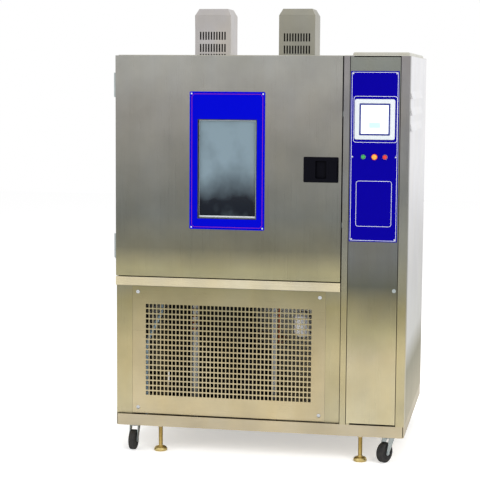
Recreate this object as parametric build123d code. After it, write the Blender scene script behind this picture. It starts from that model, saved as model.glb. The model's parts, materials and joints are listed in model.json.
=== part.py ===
"""Environmental test chamber: a stainless cabinet with a windowed door over a machine room.

Sizes are in millimetres. Pieces are placed from the cabinet's left edge (x), its front face (y,
positive to the back) and the floor (z), then moved so that the origin is the middle of the footprint.
"""
from build123d import *
import os

# Cabinet
body_width = 1080.0
body_depth = 828.0
body_height = 1382.0
floor_gap = 102.0
skin = 2.0
base_height = 42.0
base_wall = 3.0
base_corner_radius = 14.0

# Clearances
running_clearance = 0.1
seat_gap = 0.4
panel_gap = 2.5
door_gap = 4.0

# Front layout
column_width = 178.0
door_bottom = 667.0
door_top_margin = 3.0
door_thickness = 42.0
closing_gap = 4.0
beam_height = 32.0
beam_door_gap = 3.0
beam_depth = 44.0
lower_setback = 14.0
left_stile_width = 60.0
right_stile_width = 53.0
post_width = 21.0
post_flange = 10.0
corner_post_width = 31.0
corner_post_edge = 1.8
pivot_block = 12.0

# Grille
panel_edge_gap = 0.5
panel_end_gap = 3.0
field_side_margin = 49.0
field_foot_margin = 68.0
field_head_margin = 66.0
hole_width = 20.0
hole_height = 27.6
hole_pitch_x = 28.6
hole_pitch_z = 38.9

# Chamber
wall_x = 68.0
sill_height = 68.0
ceiling_insulation = 82.0
back_insulation = 81.0
floor_insulation = 78.0
liner_sheet = 2.0
strip_sheet = 3.0
air_passage = 215.0
baffle_end_gap = 30.0
shelf_rise = 285.0
shelf_front_gap = 79.0
shelf_back_gap = 25.0
shelf_wire = 6.0
shelf_bars = 14
shelf_bar_inset = 1.0
rail_width = 12.0
rail_thickness = 4.0
rail_overrun = 5.0
deck_sheet = 4.0
heater_gap = 60.0
heater_drop = 200.0
heater_plate = 4.0
heater_plate_margin = 15.0
heater_rod_radius = 5.0
heater_rod_pitch = 50.0
heater_rods = 3
coil_gap = 30.0
coil_side_gap = 60.0
coil_depth = 80.0
coil_height = 200.0
coil_fins = 12
coil_fin = 3.0
coil_fin_proud = 10.0

# Door inside
plug_clearance = 12.0
plug_depth = 46.0
gasket_width = 20.0
gasket_inset = 24.0
door_edge_radius = 3.0

# Window
window_plate_width = 279.6
window_rise = 181.3
window_plate_height = 503.1
window_plate_thickness = 2.0
glass_width = 220.0
glass_rise = 39.1
glass_height = 363.8
pane_lap = 10.0
pane_thickness = 5.0
outer_pane_y = 10.0
inner_pane_y = 72.0

# Handle and latch
handle_width = 126.0
handle_height = 92.0
handle_side_gap = 75.6
handle_proud = 3.0
cup_width = 98.0
cup_left = 55.0
cup_rim = 8.0
cup_fit = 0.5
cup_step_depth = 10.0
cup_wall = 4.0
cup_depth = 30.0
cup_inner_height = 63.0
finger_width = 38.0
paddle_length = 40.0
paddle_thickness = 5.0
paddle_overhang = 3.0
paddle_pocket_end = 5.0
paddle_pocket_depth = 6.0
paddle_pin_radius = 2.0
paddle_pin_length = 6.0
latch_reach = 201.0
latch_bar_width = 10.0
latch_bar_depth = 10.0
latch_bar_inset = 9.0
latch_bar_end = 14.0
latch_room = 20.0
latch_travel = 5.5
tongue_height = 18.0
tongue_depth = 8.0
tongue_proud = 2.2
tongue_y = 17.0
striker_thickness = 1.4
striker_gap = 3.0
striker_width = 12.0
striker_height = 30.0

# Door hinges
hinge_height = 90.0
hinge_inset = 108.0
hinge_leaf = 3.0
hinge_axis_out = 9.0
hinge_radius = 8.0
hinge_pin_radius = 5.0
hinge_leaf_length = 50.0
hinge_leaf_margin = 4.0
hinge_frame_margin = 6.0

# Column door and controls
column_door_depth = 20.0
column_door_rise = 6.0
column_door_drop = 6.0
column_sheet = 1.5
pivot_inset = 3.0
pivot_radius = 2.0
pivot_reach = 6.0
control_plate_inset = 1.5
control_plate_width = 173.0
control_plate_drop = 49.5
control_plate_height = 610.7
control_plate_thickness = 1.5
controller_drop = 171.5
controller_fit = 0.5
controller_edge = 2.0
bezel_size = 144.0
bezel_proud = 6.5
cutout_size = 138.0
controller_depth = 70.0
screen_width = 98.0
screen_height = 102.0
screen_recess = 0.8
button_drop = 305.5
button_specs = {"green": (-39.3, 7.4), "amber": (0.5, 9.4), "red": (38.2, 7.8)}
button_wall = 1.5
button_hole_gap = 0.2
button_edge = 1.0
button_seat = 2.0
button_proud = 9.5
button_travel = 3.0
button_ring = 2.2
button_ring_proud = 3.5
button_barrel = 20.0
lock_inset = 10.5
lock_drop = 25.0
lock_radius = 7.0
lock_body = 14.0
lock_spindle_radius = 3.0
lock_nut_radius = 5.0
lock_nut = 4.0
lock_key_width = 2.0
lock_key_height = 8.0
lock_key_depth = 1.2
lock_cam_length = 28.0
lock_cam_width = 10.0
lock_cam_play = 1.0
lock_cam_thickness = 3.0
lock_proud = 2.0

# Roof covers, motors and impellers
cover_size = 144.0
cover_height = 191.0
cover_setback = 10.0
cover_spacing = 339.0
cover_chamfer = 26.0
cover_inset = 14.0
slot_width = 5.5
slot_pitch = 11.0
slot_columns = 10
slot_rows = {
    "left": ((91.0, 31.5), (139.0, 31.5), (178.0, 9.5)),
    "right": ((97.0, 31.5), (145.0, 31.5)),
}
motor_radius = 50.0
motor_height = 110.0
motor_edge = 8.0
motor_bore_end = 2.0
shaft_radius = 6.0
shaft_entry = 12.0
impeller_radius = 75.0
impeller_height = 50.0
impeller_drop = 20.0
impeller_blades = 8
impeller_disc = 4.0
impeller_hub_radius = 20.0
blade_thickness = 3.0
blade_margin = 2.0
cap_height = 12.0
cap_front = 60.0
cap_back_gap = 68.0
cap_side_gap = 8.0

# Machine room
left_post_x = 272.0
right_post_gap = 266.0
inner_post_size = 20.0
inner_post_y = 100.0
compressor_radius = 85.0
compressor_height = 240.0
compressor_dome = 40.0
compressor_foot = 190.0
compressor_foot_height = 8.0
compressor_x = 460.0
compressor_gap = 95.0
condenser_left = 60.0
condenser_width = 340.0
condenser_back_gap = 226.0
condenser_depth = 50.0
condenser_height = 400.0
shroud_depth = 40.0
shroud_gap = 6.0
fan_arm = 5.0
fan_arm_height = 24.0
fan_motor_length = 55.0
fan_motor_bore = 20.0
fan_shaft_reach = 18.0
fan_hub_length = 26.0
fan_blade_chord = 56.0
fan_blade_sheet = 3.0
fan_blade_pitch = 28.0
fan_radius = 140.0
fan_hub_radius = 35.0
fan_blades = 5
fan_shaft_radius = 5.0
pipe_radius = 5.0
pipe_flats = 6
pipe_gap = 22.0
pipe_rise = 60.0
pipe_turn = 120.0
pipe_bend = 25.0
ring_radius = 8.0
ring_wire = 3.0
ring_pitch = 24.0
ring_count = 4
ring_drop = 189.0
receiver_side_gap = 151.0
receiver_y = 120.0
receiver_radius = 34.0
receiver_drop = 115.0
receiver_height = 92.0
receiver_edge = 14.0
receiver_stem = 6.0
hose_radius = 7.0
hose_bend = 60.0
hose_top = (150.0, 110.0)
hose_knee = (90.0, 112.0)
hose_foot = (88.0, 118.0)
hose_drops = (131.0, 251.0, 401.0)

# Right side and back
louvre_length = 520.0
louvre_front = 30.0
louvre_height = 28.0
louvre_proud = 8.0
louvre_drops = (141.0, 199.0, 256.0)
gland_radius = 14.0
gland_proud = 30.0
gland_flange = 8.0
gland_flange_rim = 5.0
gland_side_gap = 120.0
gland_rise = 128.0
vent_columns = 3
vent_rows = 8
vent_pitch_x = 100.0
vent_pitch_z = 36.0
vent_length = 80.0
vent_height = 12.0

# Casters and feet
caster_x = 58.0
caster_y = 65.0
caster_angles = {"front_left": 180.0, "front_right": 211.0, "rear_left": 20.0, "rear_right": -15.0}
wheel_radius = 37.5
wheel_width = 24.0
wheel_clear = 1.0
axle_radius = 4.0
hub_radius = 11.0
tyre_edge = 4.0
fork_gap = 2.0
fork_sheet = 3.0
trail = 28.0
crown_radius = 26.0
crown_height = 8.0
plate_thickness = 4.0
plate_length = 80.0
plate_width = 60.0
kingpin_radius = 6.0
foot_x = 162.0
foot_y = 45.0
pad_radius = 25.0
pad_height = 20.0
pad_rim = 7.0
pad_collar = 3.0
stem_radius = 8.0
nut_radius = 14.0
nut_height = 10.0
foot_rise = 30.0

# Places that follow from the sizes above
roof_z = floor_gap + body_height
base_top = floor_gap + base_height
door_width = (body_width - corner_post_width - 2 * panel_gap - column_width - post_width - door_gap)
door_top = roof_z - door_top_margin
door_mid_z = (door_bottom + door_top) / 2
frame_y = door_thickness + closing_gap
beam_top = door_bottom - beam_door_gap
beam_bottom = beam_top - beam_height
chamber_left = wall_x + liner_sheet
chamber_right = door_width - wall_x
chamber_floor = door_bottom + sill_height
chamber_ceiling = roof_z - skin - ceiling_insulation
chamber_back = body_depth - skin - back_insulation
baffle_y = chamber_back - air_passage
shelf_z = chamber_floor + shelf_rise
shelf_front = frame_y + shelf_front_gap
shelf_back = baffle_y - shelf_back_gap
deck_top = chamber_floor - liner_sheet - floor_insulation
deck_low = deck_top - deck_sheet
partition_x = door_width + skin
post_left = door_width + door_gap
column_left = post_left + post_width + panel_gap
corner_left = body_width - corner_post_width
column_right = corner_left - panel_gap
column_mid = (column_left + column_right) / 2
column_door_bottom = base_top + column_door_rise
column_door_top = roof_z - column_door_drop
control_plate_left = column_left + control_plate_inset
control_plate_top = column_door_top - control_plate_drop
control_plate_bottom = control_plate_top - control_plate_height
controller_x = column_mid
controller_z = control_plate_top - controller_drop
button_z = control_plate_top - button_drop
lock_x = column_right - lock_inset
lock_z = door_bottom - lock_drop
lock_cam_y = frame_y + lock_cam_play
pivot_x = column_left + pivot_inset
pivot_y = pivot_inset
inner_back = body_depth - skin
panel_left = left_stile_width + panel_edge_gap
panel_right = door_width - right_stile_width - panel_edge_gap
panel_low = base_top + panel_end_gap
panel_high = beam_bottom - panel_end_gap
window_x = door_width / 2
window_plate_bottom = door_bottom + window_rise
glass_bottom = window_plate_bottom + glass_rise
handle_x = door_width - handle_side_gap
cover_front_y = baffle_y + cover_setback
cover_mid_y = cover_front_y + cover_size / 2
condenser_y = inner_back - condenser_back_gap
compressor_y = condenser_y - compressor_gap - compressor_radius
post_x = (left_post_x, door_width - right_post_gap)
pipe_x = post_x[1] + pipe_gap
receiver_x = door_width - receiver_side_gap
receiver_bottom = deck_low - receiver_drop - receiver_height
cover_mid_x = {
    "left": window_x - cover_spacing / 2,
    "right": window_x + cover_spacing / 2,
}
hinge_z = (door_bottom + hinge_inset, door_top - hinge_inset)
hinge_reach = hinge_axis_out + hinge_radius
hinge_axis_y = door_thickness + closing_gap / 2
front_reach = control_plate_thickness + button_proud
plate_front = -control_plate_thickness
caster_places = {
    "front_left": (caster_x, caster_y),
    "front_right": (body_width - caster_x, caster_y),
    "rear_left": (caster_x, body_depth - caster_y),
    "rear_right": (body_width - caster_x, body_depth - caster_y),
}
foot_places = {
    "front_left": (foot_x, foot_y),
    "front_right": (body_width - foot_x, foot_y),
    "rear_left": (foot_x, body_depth - foot_y),
    "rear_right": (body_width - foot_x, body_depth - foot_y),
}
plug_left = chamber_left + plug_clearance
plug_right = chamber_right - plug_clearance
plug_low = chamber_floor + plug_clearance
plug_high = chamber_ceiling - plug_clearance
fan_centre = (condenser_left + condenser_width / 2, floor_gap + base_wall + condenser_height / 2)
cup_low = door_mid_z - cup_inner_height / 2
cup_high = door_mid_z + cup_inner_height / 2
paddle_axis_x = handle_x + finger_width / 2 + paddle_length - paddle_overhang
origin_x = -(hinge_reach + body_width + louvre_proud) / 2 + hinge_reach
origin_y = -(front_reach + body_depth + gland_proud) / 2 + front_reach


def slab(x0, x1, y0, y1, z0, z1):
    """A box between two corners."""
    return Pos(x0, y0, z0) * Box(x1 - x0, y1 - y0, z1 - z0, align=(Align.MIN,) * 3)


def rod_z(x, y, z0, z1, radius):
    """An upright round bar."""
    return Pos(x, y, z0) * Cylinder(radius, z1 - z0, align=(Align.CENTER, Align.CENTER, Align.MIN))


def rod_y(x, z, y0, y1, radius):
    """A round bar from front to back."""
    bar = Cylinder(radius, y1 - y0, align=(Align.CENTER, Align.CENTER, Align.MIN))
    return Pos(x, y0, z) * Rot(-90, 0, 0) * bar


def ring(outer, inner, y0, y1):
    """A rectangular ring, from outer and inner corners (x0, x1, z0, z1)."""
    whole = slab(outer[0], outer[1], y0, y1, outer[2], outer[3])
    return whole - slab(inner[0], inner[1], y0 - 1, y1 + 1, inner[2], inner[3])


def tube(points, bends, radius):
    """A pipe along straight runs joined by arcs, drawn with flats to stay light."""
    path = FilletPolyline(*points, radius=bends)
    return sweep(Plane(path @ 0, z_dir=path % 0) * RegularPolygon(radius, pipe_flats), path=path)


def group(solids):
    """Several separate solids kept as one node."""
    return Compound(children=list(solids))


def base_tray():
    """Folded tray, with foot nuts and caster plates under it."""
    tray = slab(0, body_width, 0, body_depth, floor_gap, base_top)
    tray = fillet(tray.edges().filter_by(Axis.Z), base_corner_radius)
    tray -= slab(base_wall, body_width - base_wall, base_wall, body_depth - base_wall,
                 floor_gap + base_wall, base_top + 1)
    extras = []
    for x, y in foot_places.values():
        bore = rod_z(x, y, floor_gap - nut_height - 1, base_top, stem_radius + running_clearance)
        tray -= bore
        nut_face = RegularPolygon(nut_radius, 6)
        nut = Pos(x, y, floor_gap - nut_height) * extrude(nut_face, nut_height)
        extras.append(nut - bore)
    for x, y in caster_places.values():
        bore = rod_z(x, y, floor_gap - plate_thickness - 1, base_top, kingpin_radius + running_clearance)
        tray -= bore
        plate = slab(x - plate_width / 2, x + plate_width / 2, y - plate_length / 2, y + plate_length / 2,
                     floor_gap - plate_thickness, floor_gap)
        extras.append(plate - bore)
    return group([tray] + extras)


def right_side_panel():
    """Outer skin on the right, with three raised louvre bars."""
    panel = slab(body_width - skin, body_width, frame_y, inner_back, base_top, roof_z - skin)
    for drop in louvre_drops:
        low, high = roof_z - drop - louvre_height / 2, roof_z - drop + louvre_height / 2
        front = max(louvre_front, frame_y)
        with_slope = Polyline((body_width, low), (body_width + louvre_proud, low),
                              (body_width, high), close=True)
        bar = extrude(Plane.XZ * make_face(with_slope), -(louvre_length))
        panel += Pos(0, front, 0) * bar
    return panel


def roof_panel():
    """Roof sheet with two shaft holes, and the low cap over the controls column."""
    roof = slab(0, body_width, frame_y, body_depth, roof_z - skin, roof_z)
    roof += slab(post_left, body_width, 0, frame_y, roof_z - skin, roof_z)
    for x in cover_mid_x.values():
        roof -= rod_z(x, cover_mid_y, roof_z - skin - 1, roof_z + 1, 2 * shaft_radius)
    cap = slab(column_left, body_width - cap_side_gap, cap_front, body_depth - cap_back_gap, roof_z,
               roof_z + cap_height)
    cap = fillet(cap.edges().filter_by(Axis.Z), base_corner_radius)
    cap = chamfer(cap.faces().sort_by(Axis.Z)[-1].edges(), cap_height / 3)
    return group([roof, cap])


def channel(x0, x1, y0, y1, z0, z1, flange):
    """A folded post: front face with two returns."""
    post = slab(x0, x1, y0, y0 + skin, z0, z1)
    post += slab(x0, x0 + skin, y0, y0 + flange, z0, z1)
    return post + slab(x1 - skin, x1, y0, y1, z0, z1)


def front_posts():
    """Stiles, centre post, corner post, pivot blocks and latch strikers."""
    left = channel(0, left_stile_width, lower_setback, frame_y, base_top, beam_bottom, frame_y - lower_setback)
    stile_left = door_width - right_stile_width
    right = channel(stile_left, door_width, lower_setback, frame_y, base_top, beam_bottom, post_flange)
    centre = channel(post_left, post_left + post_width, 0, frame_y, base_top, roof_z - skin, frame_y)
    corner = channel(corner_left, body_width, 0, frame_y, base_top, roof_z - skin, frame_y)
    outer_edge = corner.edges().filter_by(Axis.Z).sort_by(lambda e: e.center().Y - e.center().X)[0]
    corner = fillet(outer_edge, corner_post_edge)
    solids = [left, right, centre, corner]
    for z0, z1 in ((base_top, column_door_bottom - seat_gap), (column_door_top + seat_gap, roof_z - skin)):
        block = slab(column_left, column_left + pivot_block, seat_gap, pivot_block, z0, z1)
        solids.append(block - rod_z(pivot_x, pivot_y, z0 - 1, z1 + 1, pivot_radius + running_clearance))
    for side in (-1, 1):
        z = door_mid_z + side * latch_reach
        y0 = tongue_y + tongue_depth + striker_gap
        solids.append(slab(post_left - striker_thickness, post_left, y0, y0 + striker_width,
                           z - striker_height / 2, z + striker_height / 2))
    return group(solids)


def front_beam():
    """Folded channel under the door, open at the back."""
    beam = slab(0, door_width, 0, beam_depth, beam_bottom, beam_top)
    return beam - slab(skin, door_width - skin, skin, beam_depth + 1, beam_bottom + skin, beam_top - skin)


def grille_panel():
    """Removable lower panel with a field of rectangular holes."""
    panel = slab(panel_left, panel_right, lower_setback, lower_setback + skin, panel_low, panel_high)
    field_left, field_right = panel_left + field_side_margin, panel_right - field_side_margin
    field_low, field_high = panel_low + field_foot_margin, panel_high - field_head_margin
    columns = int((field_right - field_left + hole_pitch_x - hole_width) // hole_pitch_x)
    rows = int((field_high - field_low + hole_pitch_z - hole_height) // hole_pitch_z)
    hole = Rectangle(hole_width, hole_height)
    spots = GridLocations(hole_pitch_x, hole_pitch_z, columns, rows)
    middle = Plane(((field_left + field_right) / 2, lower_setback - 1, (field_low + field_high) / 2),
                   x_dir=(1, 0, 0), z_dir=(0, -1, 0))
    cutter = extrude(middle * Sketch(children=[spot * hole for spot in spots]), -(skin + 2))
    return panel - cutter


def chamber_liner():
    """Inner walls as five sheets, the strips round the opening and the shelf rails."""
    y0 = frame_y + strip_sheet
    left, right = chamber_left, chamber_right
    floor, ceiling, sheet = chamber_floor, chamber_ceiling, liner_sheet
    top_sheet = slab(left, right, y0, chamber_back, ceiling, ceiling + sheet)
    for x in cover_mid_x.values():
        top_sheet -= rod_z(x, cover_mid_y, ceiling - 1, ceiling + sheet + 1, shaft_radius + 1)
    solids = [
        slab(left - sheet, left, y0, chamber_back, floor - sheet, ceiling + sheet),
        slab(right, right + sheet, y0, chamber_back, floor - sheet, ceiling + sheet),
        slab(left, right, y0, chamber_back, floor - sheet, floor),
        top_sheet,
        slab(left - sheet, right + sheet, chamber_back, chamber_back + sheet, floor - sheet, ceiling + sheet),
        slab(skin, left, frame_y, y0, beam_top + skin, door_top),
        slab(right, door_width, frame_y, y0, beam_top + skin, door_top),
        slab(left, right, frame_y, y0, beam_top + skin, floor),
        slab(left, right, frame_y, y0, ceiling, door_top),
    ]
    for x0, x1 in ((left, left + rail_width), (right - rail_width, right)):
        solids.append(slab(x0, x1, shelf_front - rail_overrun, shelf_back + rail_overrun,
                           shelf_z - rail_thickness, shelf_z))
    return group(solids)


def insulation():
    """Foam slabs between the liner and the outer skins."""
    y0, y1 = frame_y + strip_sheet, chamber_back + liner_sheet
    left, right = chamber_left - liner_sheet, chamber_right + liner_sheet
    low, high = chamber_floor - liner_sheet, chamber_ceiling + liner_sheet
    top = slab(skin, door_width, y0, y1, high, roof_z - skin)
    for x in cover_mid_x.values():
        top -= rod_z(x, cover_mid_y, high - 1, roof_z, 2 * shaft_radius)
    return group([
        slab(skin, left, y0, y1, deck_top, high),
        slab(right, door_width, y0, y1, deck_top, high),
        slab(left, right, y0, y1, deck_top, low),
        top,
        slab(skin, door_width, y1, inner_back, deck_top, roof_z - skin),
    ])


def shelf():
    """Wire shelf: two side rods with bars across."""
    left, right = chamber_left + panel_end_gap, chamber_right - panel_end_gap
    low, high = shelf_z + seat_gap, shelf_z + shelf_wire
    wires = slab(left, left + shelf_wire, shelf_front, shelf_back, low, high)
    wires += slab(right - shelf_wire, right, shelf_front, shelf_back, low, high)
    pitch = (shelf_back - shelf_front - shelf_wire) / (shelf_bars - 1)
    for i in range(shelf_bars):
        y = shelf_front + i * pitch
        wires += slab(left, right, y, y + shelf_wire, low + shelf_bar_inset, high - shelf_bar_inset)
    return wires


def air_baffle():
    """Plate in front of the air passage, open above and below."""
    return slab(chamber_left, chamber_right, baffle_y, baffle_y + liner_sheet,
                chamber_floor + baffle_end_gap, chamber_ceiling - baffle_end_gap)


def heater():
    """Heating rods across the air passage, held in two end plates."""
    y, top = baffle_y + heater_gap, chamber_ceiling - heater_drop
    low = top - (heater_rods - 1) * heater_rod_pitch
    margin = heater_plate_margin
    rods = None
    for x0 in (chamber_left, chamber_right - heater_plate):
        plate = slab(x0, x0 + heater_plate, y - margin, y + margin, low - margin, top + margin)
        rods = plate if rods is None else rods + plate
    length = chamber_right - chamber_left - 2 * heater_plate
    for i in range(heater_rods):
        bar = Cylinder(heater_rod_radius, length, align=(Align.CENTER, Align.CENTER, Align.MIN))
        rods += Pos(chamber_left + heater_plate, y, low + i * heater_rod_pitch) * Rot(0, 90, 0) * bar
    return rods


def evaporator():
    """Finned cooling block low in the air passage."""
    y0, z0 = baffle_y + coil_gap, chamber_floor
    x0, x1 = chamber_left + coil_side_gap, chamber_right - coil_side_gap
    proud = coil_fin_proud
    block = slab(x0, x1, y0 + proud, y0 + proud + coil_depth, z0, z0 + coil_height)
    pitch = (x1 - x0 - coil_fin) / (coil_fins - 1)
    for i in range(coil_fins):
        x = x0 + i * pitch
        block += slab(x, x + coil_fin, y0, y0 + coil_depth + 2 * proud, z0, z0 + coil_height + proud)
    return block


def circulation_motors():
    """Two upright motors on the roof, each with a bore for its shaft."""
    motors = []
    for x in cover_mid_x.values():
        can = rod_z(x, cover_mid_y, roof_z, roof_z + motor_height, motor_radius)
        can = chamfer(can.faces().sort_by(Axis.Z)[-1].edges(), motor_edge)
        motors.append(can - rod_z(x, cover_mid_y, roof_z - 1, roof_z + shaft_entry + motor_bore_end,
                                  shaft_radius + running_clearance))
    return group(motors)


def motor_covers():
    """Two slotted sheet covers with bevelled tops."""
    covers = []
    half = cover_size / 2
    for side, x in cover_mid_x.items():
        straight = roof_z + cover_height - cover_chamfer
        outer = slab(x - half, x + half, cover_front_y, cover_front_y + cover_size, roof_z, straight)
        low = Plane((x, cover_mid_y, straight)) * Rectangle(cover_size, cover_size)
        top_size = cover_size - 2 * cover_inset
        high = Plane((x, cover_mid_y, roof_z + cover_height)) * Rectangle(top_size, top_size)
        outer += loft([low, high])
        shell = outer - slab(x - half + skin, x + half - skin, cover_front_y + skin,
                             cover_front_y + cover_size - skin, roof_z - 1, straight)
        for drop, slot_height in slot_rows[side]:
            z1 = roof_z + cover_height - drop
            for i in range(slot_columns):
                sx = x + (i - (slot_columns - 1) / 2) * slot_pitch
                shell -= slab(sx - slot_width / 2, sx + slot_width / 2, cover_front_y - 1,
                              cover_front_y + skin + 1, z1 - slot_height, z1)
        covers.append(shell)
    return group(covers)


def impeller(side):
    """Bladed wheel on its motor's shaft, in the air passage."""
    x, y = cover_mid_x[side], cover_mid_y
    top = chamber_ceiling - impeller_drop
    wheel = rod_z(x, y, top - impeller_disc, top, impeller_radius)
    wheel += rod_z(x, y, top - impeller_height, roof_z + shaft_entry, shaft_radius)
    for i in range(impeller_blades):
        blade = slab(impeller_hub_radius - blade_margin, impeller_radius - blade_margin,
                     -blade_thickness / 2, blade_thickness / 2, top - impeller_height, top - blade_margin)
        wheel += Pos(x, y, 0) * Rot(0, 0, i * 360 / impeller_blades) * blade
    wheel += rod_z(x, y, top - impeller_height, top, impeller_hub_radius)
    return wheel


def machine_frame():
    """Deck under the chamber, partition beside the controls and two inner posts."""
    solids = [
        slab(skin, door_width, beam_depth, inner_back, deck_low, deck_top),
        slab(door_width, partition_x, frame_y, inner_back, base_top, roof_z - skin),
    ]
    for x in post_x:
        solids.append(slab(x, x + inner_post_size, inner_post_y, inner_post_y + inner_post_size,
                           floor_gap + base_wall, deck_low))
    return group(solids)


def compressor():
    """Upright sealed can with a domed top, on a square foot."""
    z0 = floor_gap + base_wall
    z1 = z0 + compressor_foot_height
    half = compressor_foot / 2
    foot = slab(compressor_x - half, compressor_x + half, compressor_y - half, compressor_y + half, z0, z1)
    can = rod_z(compressor_x, compressor_y, z1, z0 + compressor_height, compressor_radius)
    can = chamfer(can.faces().sort_by(Axis.Z)[-1].edges(), compressor_dome, compressor_dome / 2)
    return foot + can


def condenser():
    """Finned coil block with a round-mouthed shroud and a fan motor behind it."""
    x1 = condenser_left + condenser_width
    z0 = floor_gap + base_wall
    z1 = z0 + condenser_height
    mid_x, mid_z = fan_centre
    coil = slab(condenser_left, x1, condenser_y, condenser_y + condenser_depth, z0, z1)
    back = condenser_y + condenser_depth
    shroud = slab(condenser_left, x1, back, back + shroud_depth, z0, z1)
    shroud -= rod_y(mid_x, mid_z, back - 1, back + shroud_depth + 1, fan_radius + shroud_gap)
    motor_y = back + shroud_depth
    arm = slab(condenser_left, x1, motor_y, motor_y + fan_arm, mid_z - fan_arm_height / 2,
               mid_z + fan_arm_height / 2)
    motor = rod_y(mid_x, mid_z, motor_y, motor_y + fan_motor_length, fan_hub_radius)
    bored = arm + motor
    bored -= rod_y(mid_x, mid_z, motor_y - 1, motor_y + fan_motor_bore, fan_shaft_radius + running_clearance)
    return group([coil, shroud, bored])


def condenser_fan():
    """Five-bladed fan in the shroud."""
    mid_x, mid_z = fan_centre
    front = condenser_y + condenser_depth + shroud_gap
    back = front - shroud_gap + shroud_depth + fan_shaft_reach
    wheel = rod_y(mid_x, mid_z, front, front + fan_hub_length, fan_hub_radius)
    wheel += rod_y(mid_x, mid_z, front, back, fan_shaft_radius)
    for i in range(fan_blades):
        blade = slab(fan_hub_radius - shroud_gap, fan_radius, -fan_blade_sheet / 2, fan_blade_sheet / 2,
                     -fan_blade_chord / 2, fan_blade_chord / 2)
        blade = Rot(fan_blade_pitch, 0, 0) * blade
        wheel += Pos(mid_x, front + fan_hub_length / 2, mid_z) * Rot(0, i * 360 / fan_blades, 0) * blade
    return wheel


def refrigerant_pipes():
    """Riser pipe from the compressor and a stack of copper rings by the first post."""
    top = floor_gap + base_wall + compressor_height
    run_z = top + pipe_rise
    front_y = inner_post_y + inner_post_size / 2
    riser = tube([(compressor_x, compressor_y, top), (compressor_x, compressor_y, run_z),
                  (pipe_x + pipe_radius, compressor_y - pipe_turn, run_z),
                  (pipe_x + pipe_radius, front_y, run_z), (pipe_x + pipe_radius, front_y, deck_low)],
                 pipe_bend, pipe_radius)
    rings = []
    coil_x = post_x[0] + inner_post_size / 2
    coil_y = inner_post_y - ring_radius - ring_wire - seat_gap / 2
    for i in range(ring_count):
        wire = Plane.XZ * Pos(ring_radius, 0) * RegularPolygon(ring_wire, pipe_flats)
        rings.append(Pos(coil_x, coil_y, deck_low - ring_drop + i * ring_pitch) * revolve(wire, Axis.Z))
    return group([riser] + rings)


def liquid_receiver():
    """White vessel hung from the deck."""
    top = receiver_bottom + receiver_height
    can = rod_z(receiver_x, receiver_y, receiver_bottom, top, receiver_radius)
    can = chamfer(can.edges().filter_by(GeomType.CIRCLE), receiver_edge)
    return can + rod_z(receiver_x, receiver_y, top - receiver_stem / 2, deck_low, receiver_stem)


def drain_hose():
    """Hose from the deck down to the tray, inside the machine room."""
    upper, middle, lower = [deck_low - drop for drop in hose_drops]
    return tube([(*hose_top, deck_low), (*hose_top, upper), (*hose_knee, middle), (*hose_foot, lower),
                 (*hose_foot, floor_gap + base_wall)], hose_bend, hose_radius)


def cable_gland():
    """Round gland for the supply cord on the back."""
    x, z = body_width - gland_side_gap, floor_gap + gland_rise
    inner, outer = body_depth + gland_flange, body_depth + gland_proud
    gland = rod_y(x, z, body_depth, outer, gland_radius)
    gland -= rod_y(x, z, inner, outer + 1, gland_radius / 2)
    return gland + rod_y(x, z, body_depth, inner, gland_radius + gland_flange_rim)


def back_panel():
    """Back sheet with air slots behind the fan."""
    panel = slab(0, body_width, inner_back, body_depth, base_top, roof_z - skin)
    mid_x, mid_z = fan_centre
    for column in range(vent_columns):
        for row in range(vent_rows):
            x = mid_x + (column - (vent_columns - 1) / 2) * vent_pitch_x
            z = mid_z + (row - (vent_rows - 1) / 2) * vent_pitch_z
            panel -= slab(x - vent_length / 2, x + vent_length / 2, inner_back - 1, body_depth + 1,
                          z - vent_height / 2, z + vent_height / 2)
    return panel


def hinge_spans(z):
    """Heights of the five knuckle zones of one hinge: cabinet, door, cabinet."""
    low, third = z - hinge_height / 2, hinge_height / 3
    return [(low + i * third + seat_gap / 2, low + (i + 1) * third - seat_gap / 2) for i in range(3)]


def hinge_leaves(of_door):
    """Two leaves with their knuckles; the cabinet's leaves hold the pins."""
    solids = []
    axis_x = -hinge_axis_out
    for z in hinge_z:
        spans = hinge_spans(z)
        own = [spans[1]] if of_door else [spans[0], spans[2]]
        if of_door:
            leaf = slab(-hinge_leaf, 0, hinge_leaf_margin, door_thickness - hinge_leaf_margin,
                        z - hinge_height / 2, z + hinge_height / 2)
        else:
            leaf_front = frame_y + hinge_frame_margin
            leaf = slab(-hinge_leaf, 0, leaf_front, leaf_front + hinge_leaf_length,
                        z - hinge_height / 2, z + hinge_height / 2)
        for z0, z1 in own:
            if of_door:
                y0, y1 = door_thickness - hinge_leaf_margin, hinge_axis_y
            else:
                y0, y1 = hinge_axis_y, frame_y + hinge_frame_margin
            leaf += slab(-hinge_leaf, 0, y0, y1, z0, z1)
            leaf += rod_z(axis_x, hinge_axis_y, z0, z1, hinge_radius)
        bore = hinge_pin_radius + running_clearance if of_door else hinge_pin_radius
        leaf -= rod_z(axis_x, hinge_axis_y, z - hinge_height, z + hinge_height, bore)
        solids.append(leaf)
        if not of_door:
            solids.append(rod_z(axis_x, hinge_axis_y, z - hinge_height / 2, z + hinge_height / 2,
                                hinge_pin_radius))
    return group(solids)


def window_zone(grow, y0, y1):
    """The glass opening, grown by a margin, as a cutting block."""
    return slab(window_x - glass_width / 2 - grow, window_x + glass_width / 2 + grow, y0, y1,
                glass_bottom - grow, glass_bottom + glass_height + grow)


def cup_body(grow):
    """The handle cup behind the door skin: a deep part and a shallow step over the paddle's pin."""
    low, high = cup_low - cup_rim - grow, cup_high + cup_rim + grow
    left = handle_x - cup_left
    deep = slab(left - grow, left + cup_width + grow, 0, cup_depth + grow, low, high)
    step = slab(handle_x, paddle_axis_x + cup_rim + grow, 0, cup_step_depth + grow, low, high)
    return deep + step


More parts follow.
